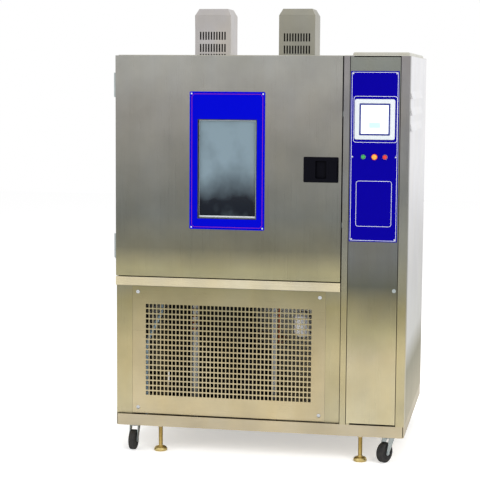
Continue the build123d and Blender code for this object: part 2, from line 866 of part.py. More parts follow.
def door_pan():
    """Outer door skin, folded on four sides, open at the back."""
    pan = slab(0, door_width, 0, door_thickness - liner_sheet, door_bottom, door_top)
    pan = fillet(pan.faces().sort_by(Axis.Y)[0].edges(), door_edge_radius)
    pan -= slab(skin, door_width - skin, skin, door_thickness, door_bottom + skin, door_top - skin)
    pan -= window_zone(0, -1, skin + 1)
    rim = cup_rim + cup_fit
    pan -= slab(handle_x - cup_left - cup_fit, paddle_axis_x + rim, -1, skin + 1, cup_low - rim, cup_high + rim)
    for side in (-1, 1):
        z = door_mid_z + side * latch_reach
        pan -= slab(door_width - skin - 1, door_width + 1, tongue_y - seat_gap,
                    tongue_y + tongue_depth + seat_gap, z - tongue_height / 2 - seat_gap,
                    z + tongue_height / 2 + seat_gap)
    return pan


def door_core():
    """Foam inside the door, with room for the window, the cup and the latch bar."""
    y1 = door_thickness - liner_sheet
    core = slab(skin, door_width - skin, skin, y1, door_bottom + skin, door_top - skin)
    core += slab(plug_left + skin, plug_right - skin, y1 - 1, door_thickness + plug_depth - skin,
                 plug_low + skin, plug_high - skin)
    core -= window_zone(pane_lap, -1, body_depth)
    core -= cup_body(cup_fit)
    bar_x = door_width - latch_bar_inset - latch_bar_width
    core -= slab(bar_x - latch_travel - 1, door_width, tongue_y - panel_end_gap,
                 tongue_y + latch_bar_depth + panel_end_gap, door_mid_z - latch_reach - latch_room,
                 door_mid_z + latch_reach + latch_room)
    return core


def door_liner():
    """Inner door sheet with the plug that enters the chamber."""
    y0 = door_thickness - liner_sheet
    plate = slab(0, door_width, y0, door_thickness, door_bottom, door_top)
    plate += slab(plug_left, plug_right, door_thickness, door_thickness + plug_depth, plug_low, plug_high)
    plate -= slab(plug_left + skin, plug_right - skin, y0 - 1, door_thickness + plug_depth - skin,
                  plug_low + skin, plug_high - skin)
    return plate - window_zone(0, 0, body_depth)


def door_gasket():
    """Seal round the plug, just clear of the cabinet's strips."""
    outer = (gasket_inset, door_width - gasket_inset, door_bottom + gasket_inset, door_top - gasket_inset)
    inner = (outer[0] + gasket_width, outer[1] - gasket_width, outer[2] + gasket_width,
             outer[3] - gasket_width)
    return ring(outer, inner, door_thickness, frame_y - seat_gap)


def window_plate():
    """Blue plate round the glass."""
    left = window_x - window_plate_width / 2
    plate = slab(left, left + window_plate_width, -window_plate_thickness, 0, window_plate_bottom,
                 window_plate_bottom + window_plate_height)
    return plate - window_zone(0, -window_plate_thickness - 1, 1)


def window_panes():
    """Two glass panes."""
    return group([window_zone(pane_lap, y, y + pane_thickness) for y in (outer_pane_y, inner_pane_y)])


def window_frame():
    """Seals and spacer that hold the two panes."""
    rear = door_thickness + plug_depth - skin
    spans = ((skin, outer_pane_y), (outer_pane_y + pane_thickness, inner_pane_y),
             (inner_pane_y + pane_thickness, rear))
    return group([window_zone(pane_lap, y0, y1) - window_zone(0, y0 - 1, y1 + 1) for y0, y1 in spans])


def handle_cup():
    """Black flush cup with a finger pocket and bores for the paddle's pins."""
    half_w, half_h = handle_width / 2, handle_height / 2
    cup = slab(handle_x - half_w, handle_x + half_w, -handle_proud, 0, door_mid_z - half_h,
               door_mid_z + half_h)
    cup += cup_body(0)
    pocket_left = handle_x - finger_width / 2
    pocket_right = handle_x - cup_left + cup_width - cup_wall
    cup -= slab(pocket_left, pocket_right, -handle_proud - 1, cup_depth - cup_wall, cup_low, cup_high)
    cup -= slab(pocket_left, paddle_axis_x + paddle_pocket_end, -handle_proud - 1, paddle_pocket_depth,
                cup_low, cup_high)
    return cup - rod_z(paddle_axis_x, 0, cup_low - paddle_pin_length - 1, cup_high + paddle_pin_length + 1,
                       paddle_pin_radius + running_clearance)


def handle_paddle():
    """Pull paddle hinged at its right edge."""
    low, high = cup_low + cup_fit, cup_high - cup_fit
    left = handle_x + finger_width / 2
    half = paddle_thickness / 2
    paddle = slab(left, paddle_axis_x, -half, half, low, high)
    paddle += rod_z(paddle_axis_x, 0, low, high, half)
    return paddle + rod_z(paddle_axis_x, 0, low - paddle_pin_length, high + paddle_pin_length,
                          paddle_pin_radius)


def latch_bar():
    """Upright bar in the door's free edge, with two tongues through the skin."""
    x0 = door_width - latch_bar_inset - latch_bar_width
    x1 = door_width - latch_bar_inset
    reach = latch_reach + latch_bar_end
    bar = slab(x0, x1, tongue_y - 1, tongue_y - 1 + latch_bar_depth, door_mid_z - reach, door_mid_z + reach)
    for side in (-1, 1):
        z = door_mid_z + side * latch_reach
        bar += slab(x1, door_width + tongue_proud, tongue_y, tongue_y + tongue_depth,
                    z - tongue_height / 2, z + tongue_height / 2)
    return bar


def control_holes(y0, y1):
    """Cutters for the controller and the three buttons."""
    half = cutout_size / 2
    cutter = slab(controller_x - half, controller_x + half, y0, y1, controller_z - half, controller_z + half)
    for offset, radius in button_specs.values():
        barrel = radius + running_clearance + button_wall
        cutter += rod_y(controller_x + offset, button_z, y0, y1, barrel + button_hole_gap)
    return cutter


def column_door():
    """Folded front of the controls column, on two pivot pins."""
    door = slab(column_left, column_right, 0, column_door_depth, column_door_bottom, column_door_top)
    door -= slab(column_left + column_sheet, column_right - column_sheet, column_sheet,
                 column_door_depth + 1, column_door_bottom + column_sheet, column_door_top - column_sheet)
    door -= control_holes(-1, column_sheet + 1)
    door -= rod_y(lock_x, lock_z, -1, column_sheet + 1, lock_radius + running_clearance)
    low, high = column_door_bottom, column_door_top
    for z0, z1 in ((low - pivot_reach + 1, low + pivot_reach), (high - pivot_reach, high + pivot_reach / 2)):
        door += rod_z(pivot_x, pivot_y, z0, z1, pivot_radius)
    return door


def control_plate():
    """Blue plate behind the controls."""
    plate = slab(control_plate_left, control_plate_left + control_plate_width, plate_front, 0,
                 control_plate_bottom, control_plate_bottom + control_plate_height)
    return plate - control_holes(plate_front - 1, 1)


def controller():
    """Square instrument with a proud bezel and a screen recess."""
    half, body = bezel_size / 2, cutout_size / 2 - controller_fit
    front = plate_front - bezel_proud
    case = slab(controller_x - half, controller_x + half, front, plate_front, controller_z - half,
                controller_z + half)
    case = chamfer(case.faces().sort_by(Axis.Y)[0].edges(), controller_edge)
    case += slab(controller_x - body, controller_x + body, plate_front, controller_depth,
                 controller_z - body, controller_z + body)
    return case - slab(controller_x - screen_width / 2, controller_x + screen_width / 2, front - 1,
                       front + screen_recess, controller_z - screen_height / 2,
                       controller_z + screen_height / 2)


def controller_screen():
    """Screen pane in the bezel's recess."""
    front = plate_front - bezel_proud
    return slab(controller_x - screen_width / 2, controller_x + screen_width / 2, front,
                front + screen_recess, controller_z - screen_height / 2, controller_z + screen_height / 2)


def button_housings():
    """Barrels and rings of the three buttons."""
    solids = []
    for offset, radius in button_specs.values():
        x = controller_x + offset
        front = plate_front - button_ring_proud
        bore = radius + running_clearance
        barrel = rod_y(x, button_z, plate_front, button_barrel, bore + button_wall)
        barrel += rod_y(x, button_z, front, plate_front, bore + button_ring)
        solids.append(barrel - rod_y(x, button_z, front - 1, button_barrel - button_seat, bore))
    return group(solids)


def button(name):
    """One push button cap with its plunger."""
    offset, radius = button_specs[name]
    cap = rod_y(controller_x + offset, button_z, plate_front - button_proud, button_barrel / 2, radius)
    return chamfer(cap.faces().sort_by(Axis.Y)[0].edges(), button_edge)


def cam_lock():
    """Quarter-turn lock, stored unlocked: its cam hangs down and turns behind the corner post."""
    body = rod_y(lock_x, lock_z, -lock_proud, lock_body, lock_radius)
    key_x, key_z = lock_key_width / 2, lock_key_height / 2
    body -= slab(lock_x - key_x, lock_x + key_x, -lock_proud - 1, lock_key_depth - lock_proud,
                 lock_z - key_z, lock_z + key_z)
    back = lock_cam_y + lock_cam_thickness
    body += rod_y(lock_x, lock_z, lock_body, back, lock_spindle_radius)
    body += rod_y(lock_x, lock_z, back, back + lock_nut, lock_nut_radius)
    half = lock_cam_width / 2
    cam = slab(lock_x - half, lock_x + half, lock_cam_y, back, lock_z - lock_cam_length, lock_z + half)
    return group([body, cam - rod_y(lock_x, lock_z, lock_cam_y - 1, back + 1, lock_spindle_radius)])


def caster_fork(place):
    """Swivel fork with its kingpin and axle; the wheel trails the pin."""
    top = floor_gap - plate_thickness - seat_gap
    axle_z = wheel_radius + wheel_clear
    inside = wheel_width / 2 + fork_gap
    fork = rod_z(0, 0, top - crown_height, top, crown_radius)
    fork += rod_z(0, 0, top, floor_gap + base_wall + 3, kingpin_radius)
    outline = Polyline((-16, top - 2), (20, top - 2), (trail + 9, axle_z), (trail + 5, axle_z - 9),
                       (trail - 5, axle_z - 9), (trail - 9, axle_z), close=True)
    leg = extrude(Plane.XZ * make_face(outline), -fork_sheet)
    for y in (inside, -inside - fork_sheet):
        fork += Pos(0, y, 0) * leg
    axle = rod_y(trail, axle_z, -inside - fork_sheet, inside + fork_sheet, axle_radius)
    return caster_place(place) * (fork + axle)


def caster_wheel(place):
    """Tyred wheel with a hub that runs on the axle."""
    axle_z = wheel_radius + wheel_clear
    hub = wheel_width / 2 + fork_gap - seat_gap
    wheel = rod_y(trail, axle_z, -wheel_width / 2, wheel_width / 2, wheel_radius)
    wheel = chamfer(wheel.edges().filter_by(GeomType.CIRCLE), tyre_edge, tyre_edge / 2)
    wheel += rod_y(trail, axle_z, -hub, hub, hub_radius)
    wheel -= rod_y(trail, axle_z, -hub - 1, hub + 1, axle_radius + running_clearance)
    return caster_place(place) * wheel


def caster_place(place):
    """Where a caster stands and which way its wheel trails, as an angle from +Y towards +X."""
    x, y = caster_places[place]
    return Pos(x, y, 0) * Rot(0, 0, 90 - caster_angles[place])


def foot(place):
    """Levelling foot: a domed pad on a threaded stem."""
    x, y = foot_places[place]
    profile = Polyline((0, 0), (pad_radius, 0), (pad_radius, pad_rim), (stem_radius + pad_collar, pad_height),
                       (0, pad_height), close=True)
    pad = revolve(Plane.XZ * make_face(profile), Axis.Z)
    return Pos(x, y, 0) * (pad + rod_z(0, 0, pad_height - 1, floor_gap + foot_rise, stem_radius))


nodes = {
    "base_tray": base_tray(),
    "left_side_panel": slab(0, skin, frame_y, inner_back, base_top, roof_z - skin),
    "right_side_panel": right_side_panel(),
    "back_panel": back_panel(),
    "roof_panel": roof_panel(),
    "front_posts": front_posts(),
    "front_beam": front_beam(),
    "grille_panel": grille_panel(),
    "chamber_liner": chamber_liner(),
    "insulation": insulation(),
    "shelf": shelf(),
    "air_baffle": air_baffle(),
    "heater": heater(),
    "evaporator": evaporator(),
    "circulation_motors": circulation_motors(),
    "motor_covers": motor_covers(),
    "machine_frame": machine_frame(),
    "compressor": compressor(),
    "condenser": condenser(),
    "refrigerant_pipes": refrigerant_pipes(),
    "liquid_receiver": liquid_receiver(),
    "drain_hose": drain_hose(),
    "cable_gland": cable_gland(),
    "hinge_frame_leaves": hinge_leaves(False),
    "hinge_door_leaves": hinge_leaves(True),
    "door_pan": door_pan(),
    "door_core": door_core(),
    "door_liner": door_liner(),
    "door_gasket": door_gasket(),
    "window_plate": window_plate(),
    "window_panes": window_panes(),
    "window_frame": window_frame(),
    "handle_cup": handle_cup(),
    "handle_paddle": handle_paddle(),
    "latch_bar": latch_bar(),
    "column_door": column_door(),
    "control_plate": control_plate(),
    "controller": controller(),
    "controller_screen": controller_screen(),
    "button_housings": button_housings(),
    "cam_lock": cam_lock(),
    "condenser_fan": condenser_fan(),
    "left_impeller": impeller("left"),
    "right_impeller": impeller("right"),
}
for name in button_specs:
    nodes[name + "_button"] = button(name)
for place in caster_places:
    nodes[place + "_caster_fork"] = caster_fork(place)
    nodes[place + "_caster_wheel"] = caster_wheel(place)
for place in foot_places:
    nodes[place + "_foot"] = foot(place)

os.makedirs("parts", exist_ok=True)
for name, shape in nodes.items():
    export_step(Pos(origin_x, origin_y, 0) * shape, "parts/" + name + ".step")
print(len(nodes), "nodes written")
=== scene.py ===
"""Environmental test chamber: fine surfaces, finishes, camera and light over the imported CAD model.

Shapes are worked out in millimetres and placed by the boxes of the CAD nodes that they stand for.
Each sub-assembly is a class, each finish is a frozen dataclass, and main() builds them in turn.
"""

import json
import logging
import math
from dataclasses import dataclass, field
from enum import Enum
from typing import Any, Optional, Sequence

import bmesh
import bpy
import numpy as np
from mathutils import Matrix, Vector

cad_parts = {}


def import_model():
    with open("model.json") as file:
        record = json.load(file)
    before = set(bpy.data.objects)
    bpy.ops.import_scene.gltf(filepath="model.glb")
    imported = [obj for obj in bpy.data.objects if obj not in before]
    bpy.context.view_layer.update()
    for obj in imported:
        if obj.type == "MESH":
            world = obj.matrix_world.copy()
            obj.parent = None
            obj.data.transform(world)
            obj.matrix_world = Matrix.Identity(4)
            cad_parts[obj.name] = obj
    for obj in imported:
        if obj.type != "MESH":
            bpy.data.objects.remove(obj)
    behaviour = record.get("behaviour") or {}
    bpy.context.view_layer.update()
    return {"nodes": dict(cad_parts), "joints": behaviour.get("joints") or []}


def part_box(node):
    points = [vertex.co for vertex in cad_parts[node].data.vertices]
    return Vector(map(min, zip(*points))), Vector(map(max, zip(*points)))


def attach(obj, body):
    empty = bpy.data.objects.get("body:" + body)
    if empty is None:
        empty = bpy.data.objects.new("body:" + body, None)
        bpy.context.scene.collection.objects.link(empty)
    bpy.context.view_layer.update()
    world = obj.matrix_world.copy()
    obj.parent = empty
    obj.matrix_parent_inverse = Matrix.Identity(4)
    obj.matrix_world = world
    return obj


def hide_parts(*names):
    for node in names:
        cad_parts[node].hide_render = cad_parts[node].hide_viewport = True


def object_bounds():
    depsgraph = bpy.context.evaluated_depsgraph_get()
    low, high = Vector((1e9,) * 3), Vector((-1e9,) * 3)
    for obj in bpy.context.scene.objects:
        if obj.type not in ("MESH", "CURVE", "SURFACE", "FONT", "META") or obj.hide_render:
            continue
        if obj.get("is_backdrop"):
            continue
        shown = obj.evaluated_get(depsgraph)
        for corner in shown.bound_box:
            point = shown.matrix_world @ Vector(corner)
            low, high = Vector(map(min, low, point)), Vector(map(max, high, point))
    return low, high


LOG = logging.getLogger("chamber")
MM = 0.001
CASTER_PLACES = ("front_left", "front_right", "rear_left", "rear_right")

Pair = tuple[float, float]
Triple = tuple[float, float, float]
Tone = tuple[float, str]
Sockets = dict[str, bpy.types.NodeSocket]


# Colour and shader nodes


def linear(code: str) -> tuple[float, float, float, float]:
    """Turns a screen colour into the linear colour that shaders work in.

    Args:
        code: six hex digits, red, green and blue.

    Returns:
        Linear red, green, blue and an alpha of one.
    """
    parts = [int(code[i:i + 2], 16) / 255 for i in (0, 2, 4)]
    red, green, blue = (p / 12.92 if p <= 0.04045 else ((p + 0.055) / 1.055) ** 2.4 for p in parts)
    return red, green, blue, 1.0


def add_node(tree: bpy.types.NodeTree, kind: str, settings: Optional[dict[Any, Any]] = None,
             links: Optional[dict[Any, bpy.types.NodeSocket]] = None) -> bpy.types.Node:
    """Adds one shader node.

    Args:
        tree: the material's or world's node tree.
        kind: the node's type name, without its ShaderNode prefix.
        settings: values by name; a name of an input socket, or its number, sets that socket.
        links: output sockets to join, by the input socket's name or number.

    Returns:
        The new node.
    """
    node = tree.nodes.new("ShaderNode" + kind)
    for key, value in (settings or {}).items():
        if isinstance(key, int) or key in node.inputs:
            node.inputs[key].default_value = value
        else:
            setattr(node, key, value)
    for key, socket in (links or {}).items():
        tree.links.new(socket, node.inputs[key])
    return node


def spread(low: float, high: float) -> dict[str, float]:
    """Settings that spread a noise value's usual range, 0.3 to 0.7, over low to high."""
    return {"From Min": 0.3, "From Max": 0.7, "To Min": low, "To Max": high}


def blotches(tree: bpy.types.NodeTree, size_mm: Triple, detail: float = 3.0) -> bpy.types.NodeSocket:
    """Smooth noise in object coordinates, between 0 and 1.

    Args:
        tree: the material's node tree.
        size_mm: length of one blotch along x, y and z.
        detail: how many finer layers are added.

    Returns:
        The noise value's socket.
    """
    place = add_node(tree, "TexCoord").outputs["Object"]
    scale = tuple(1 / (MM * size) for size in size_mm)
    stretched = add_node(tree, "Mapping", {"Scale": scale}, {"Vector": place})
    noise = add_node(tree, "TexNoise", {"Scale": 1.0, "Detail": detail}, {"Vector": stretched.outputs[0]})
    return noise.outputs["Fac"]


def share_of_height(tree: bpy.types.NodeTree, low_mm: float, high_mm: float) -> bpy.types.NodeSocket:
    """How far up a point lies between two heights.

    Args:
        tree: the material's node tree.
        low_mm: height where the share is 0.
        high_mm: height where it is 1.

    Returns:
        The share's socket.
    """
    place = add_node(tree, "TexCoord").outputs["Object"]
    height = add_node(tree, "SeparateXYZ", {}, {0: place}).outputs["Z"]
    share = add_node(tree, "MapRange", {"From Min": low_mm * MM, "From Max": high_mm * MM}, {"Value": height})
    return share.outputs[0]


class Grain(Enum):
    """Which way a sheet was brushed: the axis along which its fine lines run."""

    UP = 2
    ACROSS = 0


@dataclass(frozen=True)
class Finish:
    """A finish with its name, base colour and roughness; each kind adds its own constants and layers."""

    name: str
    colour: str
    roughness: float = 0.5

    def constants(self) -> dict[str, Any]:
        """Values of the surface shader beyond colour and roughness, by input name."""
        return {}

    def layers(self, tree: bpy.types.NodeTree) -> Sockets:
        """The patterns that feed the surface shader, by input name; a plain finish has none."""
        return {}

    def material(self) -> bpy.types.Material:
        """Makes the finish's material the first time it is asked for.

        Returns:
            The material.
        """
        found = bpy.data.materials.get(self.name)
        if found:
            return found
        material = bpy.data.materials.new(self.name)
        material.use_nodes = True
        material.diffuse_color = linear(self.colour)
        tree = material.node_tree
        surface = tree.nodes["Principled BSDF"]
        base = {"Base Color": linear(self.colour), "Roughness": self.roughness}
        for name, value in {**base, **self.constants()}.items():
            surface.inputs[name].default_value = value
        for name, socket in self.layers(tree).items():
            tree.links.new(socket, surface.inputs[name])
        return material


@dataclass(frozen=True)
class BrushedSheet(Finish):
    """Brushed stainless sheet: fine lines, cloudy handling marks and painted reflection that changes with
    height.

    The height tones are painted reflection: the light and dark bands of a room, which brushed steel smears
    together.
    Real grit lines are about 0.1 mm apart; they are drawn 2.2 mm apart, or they would not show.
    """

    reflection_tones: tuple[Tone, ...] = ()
    grain: Grain = Grain.UP
    line_mm: float = 2.2
    run_mm: float = 260.0
    contrast: float = 0.05
    cloud_mm: float = 150.0
    cloud: float = 0.10
    warmth: float = 1.0

    def constants(self) -> dict[str, Any]:
        """Bare metal."""
        return {"Metallic": 1.0}

    def layers(self, tree: bpy.types.NodeTree) -> Sockets:
        """Painted reflection by height, times line grain and clouds, warmed in stains; grain also moves the
        roughness.

        Args:
            tree: the material's node tree.

        Returns:
            The sockets for colour, roughness and normal.
        """
        size = [self.line_mm] * 3
        size[self.grain.value] = self.run_mm
        lines = blotches(tree, tuple(size), 4.0)
        clouds = blotches(tree, (self.cloud_mm,) * 3, 4.0)
        stains = blotches(tree, (self.cloud_mm * 0.7, self.cloud_mm * 0.7, self.cloud_mm * 1.6))
        half = self.contrast / 2
        shade = add_node(tree, "Math", {"operation": "MULTIPLY"}, {
            0: add_node(tree, "MapRange", spread(1 - half, 1 + half), {"Value": lines}).outputs[0],
            1: add_node(tree, "MapRange", spread(1 - self.cloud, 1 + self.cloud),
                        {"Value": clouds}).outputs[0]})
        even = {} if self.reflection_tones else {0: linear(self.colour)[:3]}
        toned = {0: self.reflection_by_height(tree)} if self.reflection_tones else {}
        shaded = add_node(tree, "VectorMath", {"operation": "SCALE", **even},
                          {**toned, "Scale": shade.outputs[0]})
        warm = add_node(tree, "VectorMath", {"operation": "MULTIPLY", 1: (1.04, 1.0, 0.90)},
                        {0: shaded.outputs[0]})
        mixed = add_node(tree, "Mix", {"data_type": "VECTOR"}, {
            "Factor": add_node(tree, "MapRange", spread(0.0, self.warmth), {"Value": stains}).outputs[0],
            4: shaded.outputs[0], 5: warm.outputs[0]})
        rough = add_node(tree, "MapRange", spread(self.roughness - 0.07, self.roughness + 0.07),
                         {"Value": lines})
        bump = add_node(tree, "Bump", {"Strength": 0.25, "Distance": 0.05 * MM}, {"Height": lines})
        return {"Base Color": mixed.outputs[1], "Roughness": rough.outputs[0], "Normal": bump.outputs[0]}

    def reflection_by_height(self, tree: bpy.types.NodeTree) -> bpy.types.NodeSocket:
        """Colour stops along the height: the painted reflection.

        Args:
            tree: the material's node tree.

        Returns:
            The colour's socket.
        """
        low, high = self.reflection_tones[0][0], self.reflection_tones[-1][0]
        ramp = add_node(tree, "ValToRGB", {}, {"Fac": share_of_height(tree, low, high)})
        stops = ramp.color_ramp.elements
        stops[0].color, stops[1].color = linear(self.reflection_tones[0][1]), linear(self.reflection_tones[-1][1])
        for z, code in self.reflection_tones[1:-1]:
            stops.new((z - low) / (high - low)).color = linear(code)
        return ramp.outputs["Color"]


@dataclass(frozen=True)
class Paint(Finish):
    """Baked paint: an even colour whose gloss changes slowly, with a faint orange-peel ripple."""

    shine: float = 0.15
    ripple_mm: float = 3.0

    def constants(self) -> dict[str, Any]:
        """A weak reflection, so that dark paint stays dark in a white room."""
        return {"Specular IOR Level": self.shine}

    def layers(self, tree: bpy.types.NodeTree) -> Sockets:
        """Ripple and slow change of gloss.

        Args:
            tree: the material's node tree.

        Returns:
            The sockets for roughness and normal.
        """
        gloss = add_node(tree, "MapRange", spread(self.roughness - 0.05, self.roughness + 0.05),
                         {"Value": blotches(tree, (90.0, 90.0, 90.0), 2.0)})
        bump = add_node(tree, "Bump", {"Strength": 0.06, "Distance": 0.05 * MM},
                        {"Height": blotches(tree, (self.ripple_mm,) * 3, 1.0)})
        return {"Roughness": gloss.outputs[0], "Normal": bump.outputs[0]}


@dataclass(frozen=True)
class Plastic(Finish):
    """Moulded plastic: a stipple breaks up its highlight. It is drawn about twice as coarse as a real one."""

    stipple_mm: float = 0.8
    skin: float = 0.0
    shine: float = 0.3

    def constants(self) -> dict[str, Any]:
        """Reflection, and a skin of gloss where the piece has one."""
        return {"Coat Weight": self.skin, "Specular IOR Level": self.shine}

    def layers(self, tree: bpy.types.NodeTree) -> Sockets:
        """The stipple, as bumps."""
        bump = add_node(tree, "Bump", {"Strength": 0.12, "Distance": 0.05 * MM},
                        {"Height": blotches(tree, (self.stipple_mm,) * 3, 2.0)})
        return {"Normal": bump.outputs[0]}


@dataclass(frozen=True)
class Rubber(Finish):
    """Dull rubber with a little pale dust on it."""

    dust: str = "6a6862"

    def layers(self, tree: bpy.types.NodeTree) -> Sockets:
        """Dust in soft patches, and a fine tread of bumps.

        Args:
            tree: the material's node tree.

        Returns:
            The sockets for colour and normal.
        """
        dust = add_node(tree, "MapRange", spread(0.0, 0.22),
                        {"Value": blotches(tree, (18.0, 18.0, 18.0), 5.0)})
        mixed = add_node(tree, "Mix", {"data_type": "RGBA", 6: linear(self.colour), 7: linear(self.dust)},
                         {"Factor": dust.outputs[0]})
        bump = add_node(tree, "Bump", {"Strength": 0.2, "Distance": 0.1 * MM},
                        {"Height": blotches(tree, (1.5, 1.5, 1.5), 2.0)})
        return {"Base Color": mixed.outputs[2], "Normal": bump.outputs[0]}


@dataclass(frozen=True)
class PlatedMetal(Finish):
    """Plated or bare metal: patches of slightly different gloss, with tarnish between them."""

    tarnish: str = "6e6a60"
    patch_mm: float = 12.0
    amount: float = 0.25

    def constants(self) -> dict[str, Any]:
        """Bare metal."""
        return {"Metallic": 1.0}

    def layers(self, tree: bpy.types.NodeTree) -> Sockets:
        """Tarnish in patches, which also changes the gloss.

        Args:
            tree: the material's node tree.

        Returns:
            The sockets for colour and roughness.
        """
        noise = blotches(tree, (self.patch_mm,) * 3, 4.0)
        dull = add_node(tree, "MapRange", spread(0.0, self.amount), {"Value": noise})
        mixed = add_node(tree, "Mix", {"data_type": "RGBA", 6: linear(self.colour), 7: linear(self.tarnish)},
                         {"Factor": dull.outputs[0]})
        rough = add_node(tree, "MapRange", spread(self.roughness - 0.05, self.roughness + 0.1),
                         {"Value": noise})
        return {"Base Color": mixed.outputs[2], "Roughness": rough.outputs[0]}


@dataclass(frozen=True)
class Foam(Finish):
    """Poured foam: matt, with small round cells as dents."""

    cell_mm: float = 2.5

    def layers(self, tree: bpy.types.NodeTree) -> Sockets:
        """The cells, as a bump over the distance to each cell's middle."""
        place = add_node(tree, "TexCoord").outputs["Object"]
        cells = add_node(tree, "TexVoronoi", {"Scale": 1 / (self.cell_mm * MM)}, {"Vector": place})
        bump = add_node(tree, "Bump", {"Strength": 0.4, "Distance": 0.5 * MM},
                        {"Height": cells.outputs["Distance"]})
        return {"Normal": bump.outputs[0]}


@dataclass(frozen=True)
class Pane(Finish):
    """Tinted double glazing: part of the light goes through, and a pale veil of painted reflection hangs in
    the upper part.
    """

    reflection_veil: str = "8a9faa"
    low_mm: float = 950.0
    high_mm: float = 1060.0
    clear: float = 0.3
    shine: float = 0.2

    def constants(self) -> dict[str, Any]:
        """Glass that lets part of the light through."""
        return {"Transmission Weight": self.clear, "Specular IOR Level": self.shine, "IOR": 1.45}

    def layers(self, tree: bpy.types.NodeTree) -> Sockets:
        """Painted reflection by height with soft clouds.

        Args:
            tree: the material's node tree.

        Returns:
            The colour's socket.
        """
        cloud = add_node(tree, "MapRange", spread(-0.3, 0.15),
                         {"Value": blotches(tree, (110.0, 110.0, 140.0))})
        total = add_node(tree, "Math", {"operation": "ADD", "use_clamp": True},
                         {0: share_of_height(tree, self.low_mm, self.high_mm), 1: cloud.outputs[0]})
        mixed = add_node(tree, "Mix", {"data_type": "RGBA", 6: linear(self.colour), 7: linear(self.reflection_veil)},
                         {"Factor": total.outputs[0]})
        return {"Base Color": mixed.outputs[2]}


@dataclass(frozen=True)
class Screen(Finish):
    """Lit panel display: pale, with a soft tinted bar low in the middle and no writing."""

    bar: str = "a6dcee"
    bar_centre: Triple = (0.0, 0.0, 0.0)
    bar_size: Pair = (46.0, 22.0)

    def constants(self) -> dict[str, Any]:
        """Its own light."""
        return {"Emission Strength": 0.55}

    def layers(self, tree: bpy.types.NodeTree) -> Sockets:
        """Tints the face inside a soft-edged rectangle round the bar's centre.

        Args:
            tree: the material's node tree.

        Returns:
            The sockets for colour and own light.
        """
        place = add_node(tree, "TexCoord").outputs["Object"]
        centre = tuple(c * MM for c in self.bar_centre)
        moved = add_node(tree, "VectorMath", {"operation": "SUBTRACT", 1: centre}, {0: place})
        axes = add_node(tree, "SeparateXYZ", {}, {0: moved.outputs[0]})
        near = []
        for name, size in zip("XZ", self.bar_size):
            away = add_node(tree, "Math", {"operation": "ABSOLUTE"}, {0: axes.outputs[name]})
            half = size * MM / 2
            near.append(add_node(tree, "MapRange", {"From Min": half, "From Max": half * 0.8},
                                 {"Value": away.outputs[0]}).outputs[0])
        inside = add_node(tree, "Math", {"operation": "MULTIPLY"}, dict(enumerate(near)))
        mixed = add_node(tree, "Mix", {"data_type": "RGBA", 6: linear(self.colour), 7: linear(self.bar)},
                         {"Factor": inside.outputs[0]})
        return {"Base Color": mixed.outputs[2], "Emission Color": mixed.outputs[2]}


@dataclass(frozen=True)
class PaleFloor(Finish):
    """Matt white floor that melts into the white background but keeps a soft shadow."""

    lift: float = 0.45

    def constants(self) -> dict[str, Any]:
        """No reflection, and white own light."""
        return {"Specular IOR Level": 0.0, "Emission Color": linear("ffffff")}

    def layers(self, tree: bpy.types.NodeTree) -> Sockets:
        """Lifts the floor towards white for the eye alone, so that it lights nothing."""
        path = add_node(tree, "LightPath")
        lift = add_node(tree, "Math", {"operation": "MULTIPLY", 1: self.lift},
                        {0: path.outputs["Is Camera Ray"]})
        return {"Emission Strength": lift.outputs[0]}


# Shapes


class Side(Enum):
    """The way a shape faces: its across, up and outward axes in the part's frame."""

    FRONT = ((1, 0, 0), (0, 0, 1), (0, -1, 0))
    BACK = ((-1, 0, 0), (0, 0, 1), (0, 1, 0))
    TOP = ((1, 0, 0), (0, 1, 0), (0, 0, 1))


@dataclass
class Patch:
    """Points in millimetres, drawn across, up and outward, and blocks of faces of one count each."""

    points: np.ndarray
    blocks: list[np.ndarray]

    def placed(self, axes: Sequence[Sequence[float]], origin: Sequence[float]) -> "Patch":
        """The same shape turned to three axes of the part's frame and moved to an origin."""
        return Patch(self.points @ np.array(axes, float) + np.array(origin, float), self.blocks)

    def facing(self, side: Side, origin: Sequence[float]) -> "Patch":
        """The same shape on one side of the part."""
        return self.placed(side.value, origin)


def joined(patches: Sequence[Patch]) -> Patch:
    """Several shapes as one.

    Args:
        patches: the shapes.

    Returns:
        One shape with all their points and faces.
    """
    starts = np.cumsum([0] + [len(p.points) for p in patches])
    return Patch(np.concatenate([p.points for p in patches]),
                 [block + start for p, start in zip(patches, starts) for block in p.blocks])


def walls(index: np.ndarray) -> np.ndarray:
    """Quads between each row of an index table and the next, wrapped round.

    Args:
        index: one row of point numbers for each loop.

    Returns:
        Four point numbers for each row pair and column.
    """
    low, high = index[:-1], index[1:]
    return np.stack([low, np.roll(low, -1, 1), np.roll(high, -1, 1), high], -1)


def bridged(loops: Sequence[np.ndarray], closed: bool = False, first: bool = False,
            last: bool = False) -> Patch:
    """Quads between loops of the same count, with flat ends where asked.

    Args:
        loops: closed loops of points, counter-clockwise seen from outside, from the back outwards and in.
        closed: joins the last loop to the first.
        first: fills the first loop.
        last: fills the last loop.

    Returns:
        The skin over the loops.
    """
    index = np.arange(len(loops) * len(loops[0])).reshape(len(loops), -1)
    rows = np.vstack([index, index[:1]]) if closed else index
    ends = [index[:1, ::-1]] * first + [index[-1:]] * last
    return Patch(np.concatenate(loops), [walls(rows).reshape(-1, 4)] + ends)


